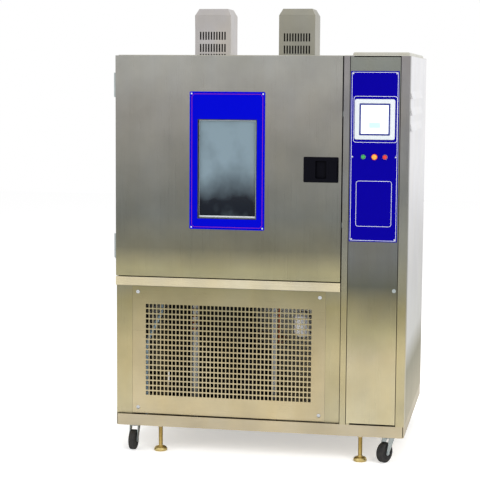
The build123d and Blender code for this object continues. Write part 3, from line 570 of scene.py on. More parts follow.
@dataclass(frozen=True)
class Outline:
    """A rectangle with round corners.

    A corner's points are its middle plus radius times (cos t, sin t), for t over a quarter turn in the
    given number of spans. No spans give a sharp corner, and one gives a cut corner.
    """

    size: Pair
    radius: float = 0.0
    centre: Pair = (0.0, 0.0)
    spans: int = 5

    def loop(self, inset: float, depth: float, corner: Optional[float] = None) -> np.ndarray:
        """The outline pulled in and moved outwards.

        Args:
            inset: how far every side moves in.
            depth: distance outwards.
            corner: radius there; without one, the outline's own radius shrinks with the inset.

        Returns:
            Points across, up and outward.
        """
        shrunk = max(self.radius - inset, 0.05) if self.radius else 0.0
        radius = shrunk if corner is None else corner
        half = [length / 2 - inset - radius for length in self.size]
        t = np.linspace(0.0, math.pi / 2, self.spans + 1) + np.arange(4)[:, None] * math.pi / 2
        across, up = np.array([1, -1, -1, 1])[:, None], np.array([1, 1, -1, -1])[:, None]
        points = np.stack([self.centre[0] + across * half[0] + radius * np.cos(t),
                           self.centre[1] + up * half[1] + radius * np.sin(t), np.full(t.shape, depth)], -1)
        return points.reshape(-1, 3)

    def loops(self, *steps: tuple[float, ...]) -> list[np.ndarray]:
        """One loop for each inset and depth, and corner radius where it is given."""
        return [self.loop(*step) for step in steps]

    def ring(self, width: float, low: float, high: float, bevel: float = 0.2) -> Patch:
        """A flat closed ring inside the outline.

        Args:
            width: the ring's own width.
            low: depth of its back.
            high: depth of its front.
            bevel: how far its front edges are cut.

        Returns:
            The ring.
        """
        return bridged(self.loops((0, low), (0, high - bevel), (bevel, high), (width - bevel, high),
                                  (width, high - bevel), (width, low)), closed=True)


def revolved(profile: Sequence[Pair], steps: int = 32) -> Patch:
    """A surface of revolution about the outward axis.

    The point at turn t is (r cos t, r sin t, h). A profile point with no radius becomes one pole, and a
    profile whose last point equals its first makes a closed ring.

    Args:
        profile: (radius, height) pairs, from the bottom outwards and up.
        steps: spans round the axis.

    Returns:
        The surface.
    """
    ring = profile[0] == profile[-1] and profile[0][0] > 0
    radius, height = np.array(profile[:-1] if ring else profile, float).T
    poles = radius == 0
    turns = np.arange(steps)
    start = np.concatenate([[0], np.cumsum(np.where(poles, 1, steps))[:-1]])
    index = start[:, None] + np.where(poles[:, None], 0, turns)
    t = turns * 2 * math.pi / steps
    points = np.stack([radius[:, None] * np.cos(t), radius[:, None] * np.sin(t),
                       np.repeat(height[:, None], steps, 1)], -1)[~poles[:, None] | (turns == 0)]
    quads = walls(np.vstack([index, index[:1]]) if ring else index)
    low, high = (poles, poles) if ring else (poles[:-1], poles[1:])
    return Patch(points, [quads[~low & ~high].reshape(-1, 4),
                          quads[low & ~high][..., [0, 2, 3]].reshape(-1, 3),
                          quads[~low & high][..., [0, 1, 2]].reshape(-1, 3)])


def arc(centre: Pair, radius: float, start: float, end: float, steps: int = 6) -> list[Pair]:
    """Points of a profile along a circle, from one angle to another in degrees."""
    return [(centre[0] + radius * math.cos(a), centre[1] + radius * math.sin(a))
            for a in np.radians(np.linspace(start, end, steps + 1))]


def screw_head(diameter: float, height: float, steps: int = 18) -> Patch:
    """A dome head with a small dish in its crown: a quarter ellipse from rim to crown, then the dish.

    Args:
        diameter: of the rim.
        height: of the crown.
        steps: spans round the head.

    Returns:
        The head, standing on its rim.
    """
    radius = diameter / 2
    dome = [(radius * math.cos(a), height * (0.3 + 0.7 * math.sin(a))) for a in np.linspace(0, 1.25, 5)]
    return revolved([(0.0, 0.0), (radius, 0.0)] + dome + [(radius * 0.22, height * 0.6), (0.0, height * 0.6)],
                    steps)


def extruded(outline: Sequence[Pair], low: float, high: float) -> Patch:
    """A flat plate with a given outline, counter-clockwise seen from outside."""
    flat = np.array(outline, float)
    loops = [np.column_stack([flat, np.full(len(flat), depth)]) for depth in (low, high)]
    return bridged(loops, first=True, last=True)


def four_heads(head: Patch, origin: np.ndarray, across: float, up: float) -> Patch:
    """The same screw head at the four corners of a front sheet.

    Args:
        head: one head.
        origin: the middle of the four.
        across: distance from the middle to each side.
        up: distance from the middle to top and bottom.

    Returns:
        The four heads.
    """
    return joined([head.facing(Side.FRONT, origin + (right * across, 0.0, high * up))
                   for right in (-1, 1) for high in (-1, 1)])


# Pieces


@dataclass(frozen=True)
class Span:
    """Lowest and highest corner of a CAD node, in millimetres."""

    low: np.ndarray
    high: np.ndarray

    @classmethod
    def of(cls, node: str) -> "Span":
        """Reads a node's box from the frame."""
        low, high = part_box(node)
        return cls(np.array(low) / MM, np.array(high) / MM)

    @property
    def middle(self) -> np.ndarray:
        """The box's middle."""
        return (self.low + self.high) / 2

    @property
    def size(self) -> np.ndarray:
        """The box's length along x, y and z."""
        return self.high - self.low


@dataclass(frozen=True)
class Home:
    """Where a piece belongs: the body it rides on, its material slot and the CAD nodes it stands for."""

    body: str
    slot: str
    nodes: tuple[str, ...] = ()


def make_piece(name: str, patch: Patch, finish: Finish, home: Home, sharp: float = 32.0,
               weld: bool = False) -> bpy.types.Object:
    """Makes one mesh object at the origin, with its place in its points.

    Args:
        name: the object's name.
        patch: its shape in the part's frame.
        finish: what covers it.
        home: its body, slot and CAD nodes.
        sharp: edges that turn by more than this many degrees stay sharp.
        weld: joins points that lie together.

    Returns:
        The object.
    """
    mesh = bpy.data.meshes.new(name)
    faces = [face for block in patch.blocks for face in block.tolist()]
    mesh.from_pydata((patch.points * MM).tolist(), [], faces)
    if weld:
        shape = bmesh.new()
        shape.from_mesh(mesh)
        bmesh.ops.remove_doubles(shape, verts=shape.verts, dist=0.01 * MM)
        shape.to_mesh(mesh)
        shape.free()
    mesh.shade_smooth()
    mesh.set_sharp_from_angle(angle=math.radians(sharp))
    piece = bpy.data.objects.new(name, mesh)
    bpy.context.scene.collection.objects.link(piece)
    mesh.materials.append(finish.material())
    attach(piece, home.body)
    if home.nodes:
        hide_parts(*home.nodes)
    LOG.info("%s: %d faces in %s", name, len(mesh.polygons), finish.name)
    return piece


# Brushed sheet: painted reflection, soft bands of light over fine lines, darkest where the room's dark half is
# mirrored.
STAINLESS = BrushedSheet("brushed stainless steel", "b2ab93", 0.34)
DOOR_STEEL = BrushedSheet(
    "door skin, brushed stainless steel", "9a978a", 0.34, warmth=0.5,
    reflection_tones=((667, "a5a080"), (700, "a29c7c"), (775, "787666"), (900, "737570"), (1130, "878680"),
           (1280, "979590"), (1481, "a4a4a0")))
COLUMN_STEEL = BrushedSheet(
    "column door, brushed stainless steel", "8a8b84", 0.34,
    reflection_tones=((145, "cfc6a6"), (390, "bab092"), (495, "a59f7e"), (600, "7e7a63"), (655, "5d5f57"),
           (760, "6e706f"), (1481, "888c88")))
STILE_STEEL = BrushedSheet(
    "front posts, brushed stainless steel", "b4aa82", 0.34,
    reflection_tones=((144, "c0b797"), (400, "b8ad88"), (570, "968f6d"), (640, "8a8876"), (1000, "7e8080"),
           (1481, "949296")))
PANEL_STEEL = BrushedSheet(
    "grille panel, brushed stainless steel", "b9aa88", 0.34, grain=Grain.ACROSS,
    reflection_tones=((147, "cdc09f"), (400, "b8ab8a"), (565, "9c9476"), (629, "908a6b")))
# Painted reflection: the side's tones stand in for the bright part of the room above and the floor below.
SIDE_STEEL = BrushedSheet(
    "side panels, brushed stainless steel", "dcdcdc", 0.4, cloud=0.04, warmth=0.3,
    reflection_tones=((144, "b5ab8d"), (330, "8c8768"), (440, "d6d6d2"), (900, "efeff2"), (1481, "eeeef2")))
BEAM_STEEL = BrushedSheet("door sill, brushed stainless steel", "d6cdb2", 0.3, grain=Grain.ACROSS)
BACK_STEEL = BrushedSheet("back panel, brushed stainless steel", "cfcec6", 0.4, cloud=0.05, warmth=0.3)
BASE_STEEL = BrushedSheet("base tray, brushed stainless steel", "c4b9a0", 0.36, grain=Grain.ACROSS)
ROOF_STEEL = BrushedSheet("roof, brushed stainless steel", "d2d2cb", 0.36, grain=Grain.ACROSS)
COVER_STEEL = BrushedSheet("left motor cover, brushed stainless steel", "bcb9ba", 0.36, contrast=0.06)
# Painted shade: the right cover's sheet is a step darker, standing in for the darker wall it faces.
SHADED_COVER_STEEL = BrushedSheet("right motor cover, brushed stainless steel, painted shade", "9c9b92", 0.36, contrast=0.06)
LINER_STEEL = BrushedSheet("chamber lining, bright stainless steel", "b4b6b4", 0.25, contrast=0.06)
# Hot-dip zinc: broad grey patches with a dull gloss.
FRAME_STEEL = PlatedMetal("galvanised steel", "a9adae", 0.42, tarnish="7c8082", patch_mm=30.0)
# Baked enamel, deep and even, with only a weak reflection.
BLUE = Paint("blue baked paint", "06008c", 0.4, shine=0.03)
BLUE_PLATE = Paint("window surround, blue baked paint", "0206bc", 0.4, shine=0.02)
WHITE_PAINT = Paint("white baked paint", "f8f8fa", 0.4)
BLACK_PAINT = Paint("black baked paint", "17181a", 0.4)
# Screen-printed lines, thin and matt.
PRINT_WHITE = Plastic("white printed line", "eef0f4", 0.5)
PRINT_ROSE = Plastic("rose printed line", "96246a", 0.5)
# Polished heads that catch the light as small bright dots.
SCREW_WHITE = PlatedMetal("bright screw heads", "e9ebee", 0.25, tarnish="b0b2b4", amount=0.1)
CHROME = PlatedMetal("polished chrome", "cfd2d4", 0.12, tarnish="9a9c9e", amount=0.1)
# Glass-filled nylon: near black with hardly a highlight; the pocket gets a blacker copy that is painted shade.
BLACK = Plastic("black moulded nylon", "08080f", 0.45, shine=0.05)
POCKET_SHADE_BLACK = Plastic("black pocket sheet, painted shade", "020203", 0.6, shine=0.0)
# ABS instrument case, pale and softly matt, with a glossy dark edge round the screen.
BEZEL = Plastic("light grey moulded case", "d0d6da", 0.45)
SCREEN_EDGE = Plastic("dark blue screen edge", "26307c", 0.3, skin=0.4)
# Rubbers: no highlight, dust in the dull parts.
SEAL = Rubber("black rubber seal", "0a0b0c", 0.8)
TYRE = Rubber("grey-black rubber tyre", "1b1c1e", 0.8, dust="605a50")
HOSE = Rubber("pale blue hose", "a6c2d2", 0.6, dust="c2ccd0")
# Aluminium: clean and satin on frames; the fins' dark grey is dust together with painted shade of the machine
# bay.
ALUMINIUM = PlatedMetal("anodised aluminium", "c2c6c8", 0.35, tarnish="9fa4a6")
DUSTY_SHADED_FINS = PlatedMetal("dusty aluminium fins, painted shade", "343634", 0.6, tarnish="1e1d1a", patch_mm=25.0, amount=0.5)
SPACER = PlatedMetal("bright aluminium spacer", "b0b8bc", 0.3, tarnish="80868a")
# Zinc plate: cold and bright; the yellow passivated kind shifts between straw and olive.
ZINC = PlatedMetal("bright zinc plate", "b4bcbc", 0.3, tarnish="7b8078")
GOLD_ZINC = PlatedMetal("yellow zinc plate", "ead392", 0.32, tarnish="a08f48", amount=0.4)
# Drawn copper: a red glint behind the grille.
COPPER = PlatedMetal("copper pipe", "dc7a4c", 0.3, tarnish="8c4428")
FOAM = Foam("poured foam", "e8dcb4", 0.9)
# Tinted panes: a pale veil of painted reflection above; below, the glass's dark tint with the chamber's shade
# painted in.
PANE = Pane("tinted glass", "101824", 0.06)
# Clear polycarbonate caps over coloured lamps: deep colour under a wet gloss.
GREEN = Plastic("green lens", "1f9d4e", 0.18, skin=0.8)
AMBER = Plastic("amber lens", "f2a83a", 0.18, skin=0.8)
RED = Plastic("red lens", "d8202a", 0.18, skin=0.8)

NODE_FINISHES: dict[str, Finish] = {
    "base_tray": BASE_STEEL, "left_side_panel": SIDE_STEEL, "right_side_panel": SIDE_STEEL,
    "back_panel": BACK_STEEL, "roof_panel": ROOF_STEEL, "front_posts": STILE_STEEL, "front_beam": BEAM_STEEL,
    "chamber_liner": LINER_STEEL, "insulation": FOAM, "shelf": STAINLESS, "air_baffle": LINER_STEEL,
    "heater": STAINLESS, "evaporator": ALUMINIUM, "circulation_motors": BLACK_PAINT,
    "machine_frame": FRAME_STEEL, "compressor": BLACK_PAINT, "condenser": DUSTY_SHADED_FINS,
    "condenser_fan": ALUMINIUM, "refrigerant_pipes": COPPER, "liquid_receiver": WHITE_PAINT,
    "drain_hose": HOSE, "cable_gland": BLACK, "hinge_frame_leaves": ZINC, "hinge_door_leaves": ZINC,
    "door_pan": DOOR_STEEL, "door_core": FOAM, "door_liner": LINER_STEEL, "window_panes": PANE,
    "window_frame": SPACER, "latch_bar": ZINC, "column_door": COLUMN_STEEL, "control_plate": BLUE,
    "cam_lock": ZINC, "left_impeller": STAINLESS, "right_impeller": STAINLESS,
}


@dataclass
class Cabinet:
    """CAD pieces that show as they are, each given its finish; the round ones are shaded round."""

    nodes: dict[str, bpy.types.Object]
    round_nodes: tuple[str, ...] = ("refrigerant_pipes", "drain_hose", "liquid_receiver", "compressor")
    round_turn: float = 62.0

    def build(self) -> None:
        """Paints the shown CAD nodes."""
        for name, finish in NODE_FINISHES.items():
            mesh = self.nodes[name].data
            mesh.materials.clear()
            mesh.materials.append(finish.material())
            if name in self.round_nodes:
                mesh.shade_smooth()
                mesh.set_sharp_from_angle(angle=math.radians(self.round_turn))
            LOG.info("%s painted as %s", name, finish.name)


@dataclass
class Grille:
    """Perforated panel in front of the machine bay, with a dome screw at each corner."""

    columns: int = 43
    rows: int = 18
    side_margin: float = 49.5
    foot_margin: float = 67.7
    head_margin: float = 64.8
    hole_share: float = 0.76
    hole_radius: float = 1.6
    screw_inset: Pair = (21.5, 22.0)
    screw_diameter: float = 15.0
    screw_height: float = 4.0

    def build(self) -> None:
        """Makes the panel and its screws."""
        span = Span.of("grille_panel")
        width, thickness, height = span.size
        area = Outline((width - 2 * self.side_margin, height - self.foot_margin - self.head_margin),
                       centre=(0.0, (self.foot_margin - self.head_margin) / 2), spans=0)
        rim = Outline((width, height), spans=0)
        origin = np.array((span.middle[0], span.low[1], span.middle[2]))
        border = bridged([area.loop(0, -thickness), rim.loop(0, -thickness), rim.loop(0, 0), area.loop(0, 0)])
        sheet = joined([border, self.cells(area, thickness)])
        make_piece("grille_panel", sheet.facing(Side.FRONT, origin), PANEL_STEEL,
                   Home("cabinet", "stainless", ("grille_panel",)), weld=True)
        heads = four_heads(screw_head(self.screw_diameter, self.screw_height), origin,
                           width / 2 - self.screw_inset[0], height / 2 - self.screw_inset[1])
        make_piece("grille_screws", heads, CHROME, Home("cabinet", "zinc"))

    def cells(self, area: Outline, thickness: float) -> Patch:
        """Every hole with the metal round it, repeated over the perforated area.

        One cell is drawn once: its hole's loop, and the same loop pushed out to the cell's edges. A
        corner's middle point moves both ways, and its end points move along one axis each.

        Args:
            area: the perforated rectangle.
            thickness: of the sheet.

        Returns:
            All cells.
        """
        pitch = np.array(area.size) / (self.columns, self.rows)
        inner = Outline(tuple(pitch * self.hole_share), self.hole_radius, spans=2).loop(0, 0)
        corners = inner.reshape(4, 3, 3)[..., :2]
        edge = np.sign(corners[:, 1:2]) * pitch / 2
        even, odd = ((1, 0), (1, 1), (0, 1)), ((0, 1), (1, 1), (1, 0))
        pushed = np.where(np.array((even, odd, even, odd), bool), edge, corners)
        outer = np.column_stack([pushed.reshape(-1, 2), inner[:, 2]])
        back = np.array((0.0, 0.0, -thickness))
        cell = bridged([outer, inner, inner + back, outer + back])
        across = area.centre[0] + (np.arange(self.columns) - (self.columns - 1) / 2) * pitch[0]
        up = area.centre[1] + (np.arange(self.rows) - (self.rows - 1) / 2) * pitch[1]
        places = np.stack(np.meshgrid(across, up, [0.0], indexing="ij"), -1).reshape(-1, 1, 3)
        starts = len(cell.points) * np.arange(len(places))[:, None, None]
        return Patch((cell.points + places).reshape(-1, 3), [(cell.blocks[0] + starts).reshape(-1, 4)])


@dataclass
class Window:
    """Door window: blue surround with its line and screws, black reveal, spacer and inner sill."""

    pane_lap: float = 10.0
    corner: float = 5.0
    inner_corner: float = 1.5
    edge: float = 0.6
    line_inset: float = 8.0
    line_width: float = 1.3
    line_cut: float = 9.0
    line_height: float = 0.15
    screw_inset: float = 7.5
    screw_diameter: float = 6.5
    screw_height: float = 1.8
    reveal_wall: float = 2.5
    spacer_width: float = 3.0
    pane_gap: float = 0.2
    sill_height: float = 5.0
    sill_depth: float = 4.0

    def build(self) -> None:
        """Makes the surround, its line and screws, then what shows in its opening."""
        plate, glass = Span.of("window_plate"), Span.of("window_frame")
        origin = np.array((plate.middle[0], plate.high[1], plate.middle[2]))
        thick = plate.size[1]
        outer = Outline((plate.size[0], plate.size[2]), self.corner)
        opening = Outline((glass.size[0] - 2 * self.pane_lap, glass.size[2] - 2 * self.pane_lap),
                          self.inner_corner, (0.0, glass.middle[2] - plate.middle[2]))
        loops = (outer.loops((0, 0), (0, thick - self.edge), (self.edge, thick))
                 + opening.loops((-self.edge, thick, self.inner_corner + 0.5), (0, thick - self.edge),
                                 (0, 0)))
        make_piece("window_surround", bridged(loops, closed=True).facing(Side.FRONT, origin), BLUE_PLATE,
                   Home("door", "blue_plate", ("window_plate",)))
        line = Outline((outer.size[0] - 2 * self.line_inset, outer.size[1] - 2 * self.line_inset),
                       self.line_cut, spans=1).ring(self.line_width, thick, thick + self.line_height, 0.05)
        make_piece("window_surround_line", line.facing(Side.FRONT, origin), PRINT_ROSE,
                   Home("door", "blue_plate"))
        heads = four_heads(screw_head(self.screw_diameter, self.screw_height, 14), origin - (0.0, thick, 0.0),
                           outer.size[0] / 2 - self.screw_inset, outer.size[1] / 2 - self.screw_inset)
        make_piece("window_screws", heads, SCREW_WHITE, Home("door", "zinc"))
        self.inside(opening, origin, plate.high[1] - Span.of("window_panes").low[1] + self.pane_gap, thick)

    def inside(self, opening: Outline, origin: np.ndarray, pane: float, thick: float) -> None:
        """Makes the black reveal, the spacer's edge round the pane and the sill on it.

        Args:
            opening: the hole in the blue plate.
            origin: the plate's middle, on its back.
            pane: depth just in front of the glass.
            thick: the plate's thickness.
        """
        reveal = opening.ring(self.reveal_wall, pane, thick - 0.3)
        make_piece("window_reveal", reveal.facing(Side.FRONT, origin), SEAL, Home("door", "seal"))
        inset = 2 * (self.reveal_wall + self.pane_gap)
        size = (opening.size[0] - inset, opening.size[1] - inset)
        spacer = Outline(size, 1.0, opening.centre).ring(self.spacer_width, pane, pane + 2.2)
        make_piece("window_spacer", spacer.facing(Side.FRONT, origin), SPACER, Home("door", "aluminium"))
        inset = self.spacer_width + self.pane_gap
        wide, low = size[0] - 2 * inset, opening.centre[1] - size[1] / 2 + inset + self.sill_height / 2
        sill = Outline((wide, self.sill_height), 0.8, (0.0, low))
        lip = Outline((wide, self.sill_height - 1.6), 0.6, (0.0, low))
        front = pane + self.sill_depth
        bar = bridged(sill.loops((0, pane), (0, front - 1.0)) + lip.loops((0, front - 0.2)),
                      first=True, last=True)
        make_piece("window_inner_sill", bar.facing(Side.FRONT, origin), BEZEL, Home("door", "aluminium"))


@dataclass
class Handle:
    """Flush door handle: black bezel over a tub with a finger pocket, and the paddle on its right.

    Depths count inwards from the door's face; the opening and the tub start at the bezel's left edge.
    """

    corner: float = 4.0
    opening: Pair = (80.0, 63.0)
    opening_left: float = 44.0
    shelf_depth: float = 6.0
    flange_depth: float = 10.0
    finger_width: float = 38.0
    tub_left: float = 8.0
    tub_width: float = 98.0
    tub_wall: float = 4.0
    lining: float = 0.6
    pad: Pair = (9.0, 8.0)

    def build(self) -> None:
        """Makes the bezel with its pocket, the pocket's black sheet of painted shade, and the paddle."""
        cup, face = Span.of("handle_cup"), Span.of("door_pan").low[1]
        self.bezel(cup, (cup.middle[0], face, cup.middle[2]), face - cup.low[1])
        paddle = Span.of("handle_paddle")
        wide, deep, high = paddle.size
        half = deep / 2
        plate = Outline((wide, high), 3.0)
        pad = Outline((wide - 2 * self.pad[0], high - 2 * self.pad[1]), 2.0)
        grip = bridged(plate.loops((0.8, -half), (0, 0.8 - half), (0, half - 0.8), (0.8, half))
                       + pad.loops((0, half), (0.8, half - 0.9, 1.6)), first=True, last=True)
        make_piece("handle_paddle_plate", grip.facing(Side.FRONT, paddle.middle), BLACK,
                   Home("paddle", "black_plastic", ("handle_paddle",)))

    def bezel(self, cup: Span, origin: Triple, front: float) -> None:
        """Makes the bezel and a black sheet of painted shade in its finger pocket.

        Args:
            cup: the CAD cup's box.
            origin: the bezel's middle, on the door's face.
            front: how far the bezel stands out.
        """
        size, deep = (cup.size[0], cup.size[2]), cup.size[1] - front
        floor = deep - self.tub_wall

        def across(left: float, right: float, high: float, radius: float) -> Outline:
            """An outline between two distances from the bezel's left edge."""
            return Outline((right - left, high), radius, ((left + right - size[0]) / 2, 0.0))

        left, high = self.opening_left, self.opening[1]
        tub_right = self.tub_left + self.tub_width
        opening = across(left, left + self.opening[0], high, 2.0)
        well = across(left, tub_right - self.tub_wall, high, 2.0)
        tub = across(self.tub_left, tub_right, size[1], self.corner)
        flange = bridged(
            Outline(size, self.corner).loops((0, -self.flange_depth), (0, front - 1.4), (0.5, front - 0.5),
                                             (1.4, front))
            + opening.loops((-1.2, front, 3.0), (-0.3, front - 0.6, 2.2), (0, front - 2.0),
                            (0, -self.shelf_depth))
            + well.loops((0, -self.shelf_depth), (0, -floor)), first=True, last=True)
        skin = bridged(tub.loops((0, -deep), (0, -self.flange_depth), (1.0, -self.flange_depth, self.corner),
                                 (1.0, 1.0 - deep, self.corner)), first=True, last=True)
        make_piece("handle_bezel", joined([flange, skin]).facing(Side.FRONT, origin), BLACK,
                   Home("door", "black_plastic", ("handle_cup",)))
        # A near-black sheet over the finger pocket's walls and floor: painted shade.
        finger = across(left + 0.3, left + self.finger_width - 0.3, high - 0.4, 2.0)
        lining = bridged(finger.loops((0, 0.1 - floor), (0, front - 2.2), (self.lining, front - 2.2),
                                      (self.lining, self.lining - floor)), first=True, last=True)
        make_piece("handle_pocket_painted_shade", lining.facing(Side.FRONT, origin), POCKET_SHADE_BLACK,
                   Home("door", "black_plastic"))


@dataclass
class Controls:
    """Blue plate's lines and screws, the panel instrument and the three lamp buttons."""

    edge_inset: float = 4.0
    line: float = 1.2
    line_height: float = 0.15
    screw_inset: float = 9.0
    screw_diameter: float = 5.5
    screw_height: float = 1.6
    ring_margin: Pair = (6.0, 10.5)
    ring_shift: float = 2.0
    blank_size: Pair = (128.0, 164.0)
    blank_rise: float = 137.2
    body_size: float = 137.0
    case_corner: float = 7.0
    face_recess: Pair = (112.0, 116.0)
    bar_rise: float = 30.0
    collar_rim: float = 1.7
    collar_depth: float = 16.0
    lamps: dict[str, tuple[Finish, Finish]] = field(default_factory=lambda: {
        "green": (GREEN, CHROME), "amber": (AMBER, RED), "red": (RED, CHROME)})

    def build(self) -> None:
        """Makes the printed lines, screws, instrument and lamps."""
        plate, case = Span.of("control_plate"), Span.of("controller")
        self.lines(plate, case)
        self.instrument(plate, case)
        for name, (lens, ring) in self.lamps.items():
            self.lamp(name, plate.low[1], lens, ring)

    def lines(self, plate: Span, case: Span) -> None:
        """Makes the printed outlines and the six screws of the plate.

        Args:
            plate: the blue plate's box.
            case: the instrument's box.
        """
        origin = np.array((plate.middle[0], plate.low[1], plate.middle[2]))
        size = (plate.size[0] - 2 * self.edge_inset, plate.size[2] - 2 * self.edge_inset)
        shift = case.middle - plate.middle
        case_line = (case.size[0] + 2 * self.ring_margin[0], case.size[2] + 2 * self.ring_margin[1])
        outlines = (Outline(size, 3.0), Outline(case_line, 9.0, (shift[0] + self.ring_shift, shift[2])),
                    Outline(self.blank_size, 9.0, (shift[0], self.blank_rise - plate.size[2] / 2)))
        rings = joined([outline.ring(self.line, 0.0, self.line_height, 0.05) for outline in outlines])
        make_piece("control_plate_lines", rings.facing(Side.FRONT, origin), PRINT_WHITE,
                   Home("controls_door", "blue_plate"))
        across = plate.size[0] / 2 - self.screw_inset
        head = screw_head(self.screw_diameter, self.screw_height, 14)
        rows = (plate.high[2] - self.screw_inset, Span.of("green_button").middle[2],
                plate.low[2] + self.screw_inset)
        heads = [head.facing(Side.FRONT, (origin[0] + side * across, origin[1], z))
                 for side in (-1, 1) for z in rows]
        make_piece("control_plate_screws", joined(heads), SCREW_WHITE, Home("controls_door", "zinc"))

    def instrument(self, plate: Span, case: Span) -> None:
        """Makes the square panel instrument: case, screen edge and screen.

        Args:
            plate: the blue plate's box.
            case: the instrument's box.
        """
        screen, sheet = Span.of("controller_screen"), plate.high[1]
        origin = np.array((case.middle[0], sheet, case.middle[2]))
        out, seat, back = sheet - case.low[1], sheet - plate.low[1], sheet - case.high[1]
        recess = self.face_recess
        loops = (Outline((self.body_size, self.body_size), 2.0).loops((0, back), (0, seat))
                 + Outline((case.size[0], case.size[0]), self.case_corner).loops(
                     (0, seat), (0, out - 2.4), (0.7, out - 0.7), (2.2, out))
                 + Outline(recess, 4.0).loops((0, out), (1.0, out - 1.2)))
        make_piece("controller_case", bridged(loops, first=True, last=True).facing(Side.FRONT, origin), BEZEL,
                   Home("controls_door", "grey_plastic", ("controller",)))
        glass = (screen.size[0], screen.size[2])
        edge_size = (recess[0] - 2.4, recess[1] - 2.4)
        edge = Outline(edge_size, 3.0).ring((edge_size[0] - glass[0]) / 2 + 0.2, out - 1.3, out - 0.6)
        make_piece("controller_screen_edge", edge.facing(Side.FRONT, origin), SCREEN_EDGE,
                   Home("controls_door", "grey_plastic"))
        face = Outline(glass, 2.0, (screen.middle[0] - origin[0], screen.middle[2] - origin[2]))
        lit = bridged(face.loops((0, out - 1.3), (0, out - 0.9), (0.5, out - 0.7, 1.6)),
                      first=True, last=True)
        bar = (float(screen.middle[0]), 0.0, float(screen.low[2] + self.bar_rise))
        # A liquid-crystal panel lit from behind: paler than anything round it.
        make_piece("controller_display", lit.facing(Side.FRONT, origin),
                   Screen("lit display", "f4f7fc", 0.25, bar_centre=bar),
                   Home("controls_door", "screen", ("controller_screen",)))

    def lamp(self, name: str, front: float, lens: Finish, ring: Finish) -> None:
        """Makes one lamp button and the ring round it.

        Args:
            name: the lamp's colour.
            front: the blue plate's face.
            lens: the cap's finish.
            ring: the ring's finish.
        """
        cap = Span.of(name + "_button")
        radius, proud, depth = cap.size[0] / 2, front - cap.low[1], cap.high[1] - front
        origin = (cap.middle[0], front, cap.middle[2])
        dome = [(radius * math.cos(a), proud - 5.0 + 5.0 * math.sin(a)) for a in np.linspace(0, 1.4, 7)]
        push = revolved([(0.0, -depth), (radius * 0.8, -depth), (radius * 0.8, -1.0), (radius, -1.0)] + dome
                        + [(0.0, proud)])
        make_piece(name + "_lamp", push.facing(Side.FRONT, origin), lens,
                   Home(name + "_push", name + "_lens", (name + "_button",)), 50.0)
        bore, seat, low = radius + 0.1, radius + self.collar_rim, -self.collar_depth
        collar = revolved([(bore, low), (radius + 1.6, low), (radius + 1.6, 0.0), (seat, 0.0), (seat, 2.3),
                           (seat - 0.5, 3.2), (bore + 0.7, 3.5), (bore, 3.0), (bore, low)])
        make_piece(name + "_lamp_ring", collar.facing(Side.FRONT, origin), ring,
                   Home("controls_door", "zinc", ("button_housings",) if name == "green" else ()))


@dataclass
class RoofCovers:
    """Two slotted sheet covers over the circulation motors, with bevelled tops.

    A row of slots is given by its distance below the cover's top and its height.
    """

    height_of_bevel: float = 26.0
    bevel_inset: float = 14.0
    sheet: float = 1.5
    soft_edge: float = 0.8
    soft_turn: float = 40.0
    columns: int = 10
    slot: float = 5.5
    pitch: float = 11.0
    rows: dict[str, tuple[Pair, ...]] = field(default_factory=lambda: {
        "left": ((91.0, 31.5), (139.0, 31.5), (178.0, 9.5)), "right": ((97.0, 31.5), (145.0, 31.5))})
    # The right cover's steel is a darker copy of the left one: painted shade.
    steels: dict[str, Finish] = field(default_factory=lambda: {
        "left": COVER_STEEL, "right": SHADED_COVER_STEEL})

    def build(self) -> None:
        """Makes both covers; the left stands at the box's low end and the right at its high end."""
        span = Span.of("motor_covers")
        size, height = span.size[1], span.size[2]
        for name, x in (("left", span.low[0] + size / 2), ("right", span.high[0] - size / 2)):
            shell = self.shell(size, height, self.rows[name])
            piece = make_piece(name + "_motor_cover",
                               shell.facing(Side.TOP, (x, span.middle[1], span.low[2])),
                               self.steels[name],
                               Home("cabinet", "stainless", ("motor_covers",) * (name == "left")), weld=True)
            wall = piece.modifiers.new("sheet", "SOLIDIFY")
            wall.thickness, wall.offset = self.sheet * MM, -1.0
            edges = piece.modifiers.new("soft edges", "BEVEL")
            edges.width, edges.segments, edges.harden_normals = self.soft_edge * MM, 2, True
            edges.limit_method, edges.angle_limit = "ANGLE", math.radians(self.soft_turn)

    def shell(self, size: float, height: float, rows: Sequence[Pair]) -> Patch:
        """The cover as an open skin: slotted front, plain sides and back, bevel and top.

        Args:
            size: width and depth.
            height: from the roof to the top.
            rows: this cover's rows of slots.

        Returns:
            The skin.
        """
        straight = height - self.height_of_bevel
        outline = Outline((size, size), spans=0)
        skin = bridged(outline.loops((0, 0), (0, straight), (self.bevel_inset, height)), last=True)
        front_wall = 2
        skin.blocks[0] = np.delete(skin.blocks[0], front_wall, axis=0)
        return joined([skin, self.front(size / 2, straight, height, rows)])

    def front(self, half: float, straight: float, height: float, rows: Sequence[Pair]) -> Patch:
        """The front sheet as a grid of strips; every odd strip of an odd row is a slot and is left out.

        Args:
            half: half the cover's width.
            straight: height where the bevel starts.
            height: the cover's height.
            rows: this cover's rows of slots.

        Returns:
            The front sheet.
        """
        middles = (np.arange(self.columns) - (self.columns - 1) / 2) * self.pitch
        sides = np.add.outer(middles, (-self.slot / 2, self.slot / 2)).ravel()
        edges = np.concatenate([[-half], sides, [half]])
        drop, tall = np.array(rows[::-1]).T
        ends = np.stack([height - drop - tall, height - drop], 1).ravel()
        levels = np.concatenate([[0.0], ends, [straight]])
        x, z = np.meshgrid(edges, levels)
        index = np.arange(x.size).reshape(x.shape)
        quads = np.stack([index[:-1, :-1], index[:-1, 1:], index[1:, 1:], index[1:, :-1]], -1)
        solid = np.ones(quads.shape[:2], bool)
        solid[1::2, 1::2] = False
        return Patch(np.stack([x, np.full(x.shape, -half), z], -1).reshape(-1, 3), [quads[solid]])


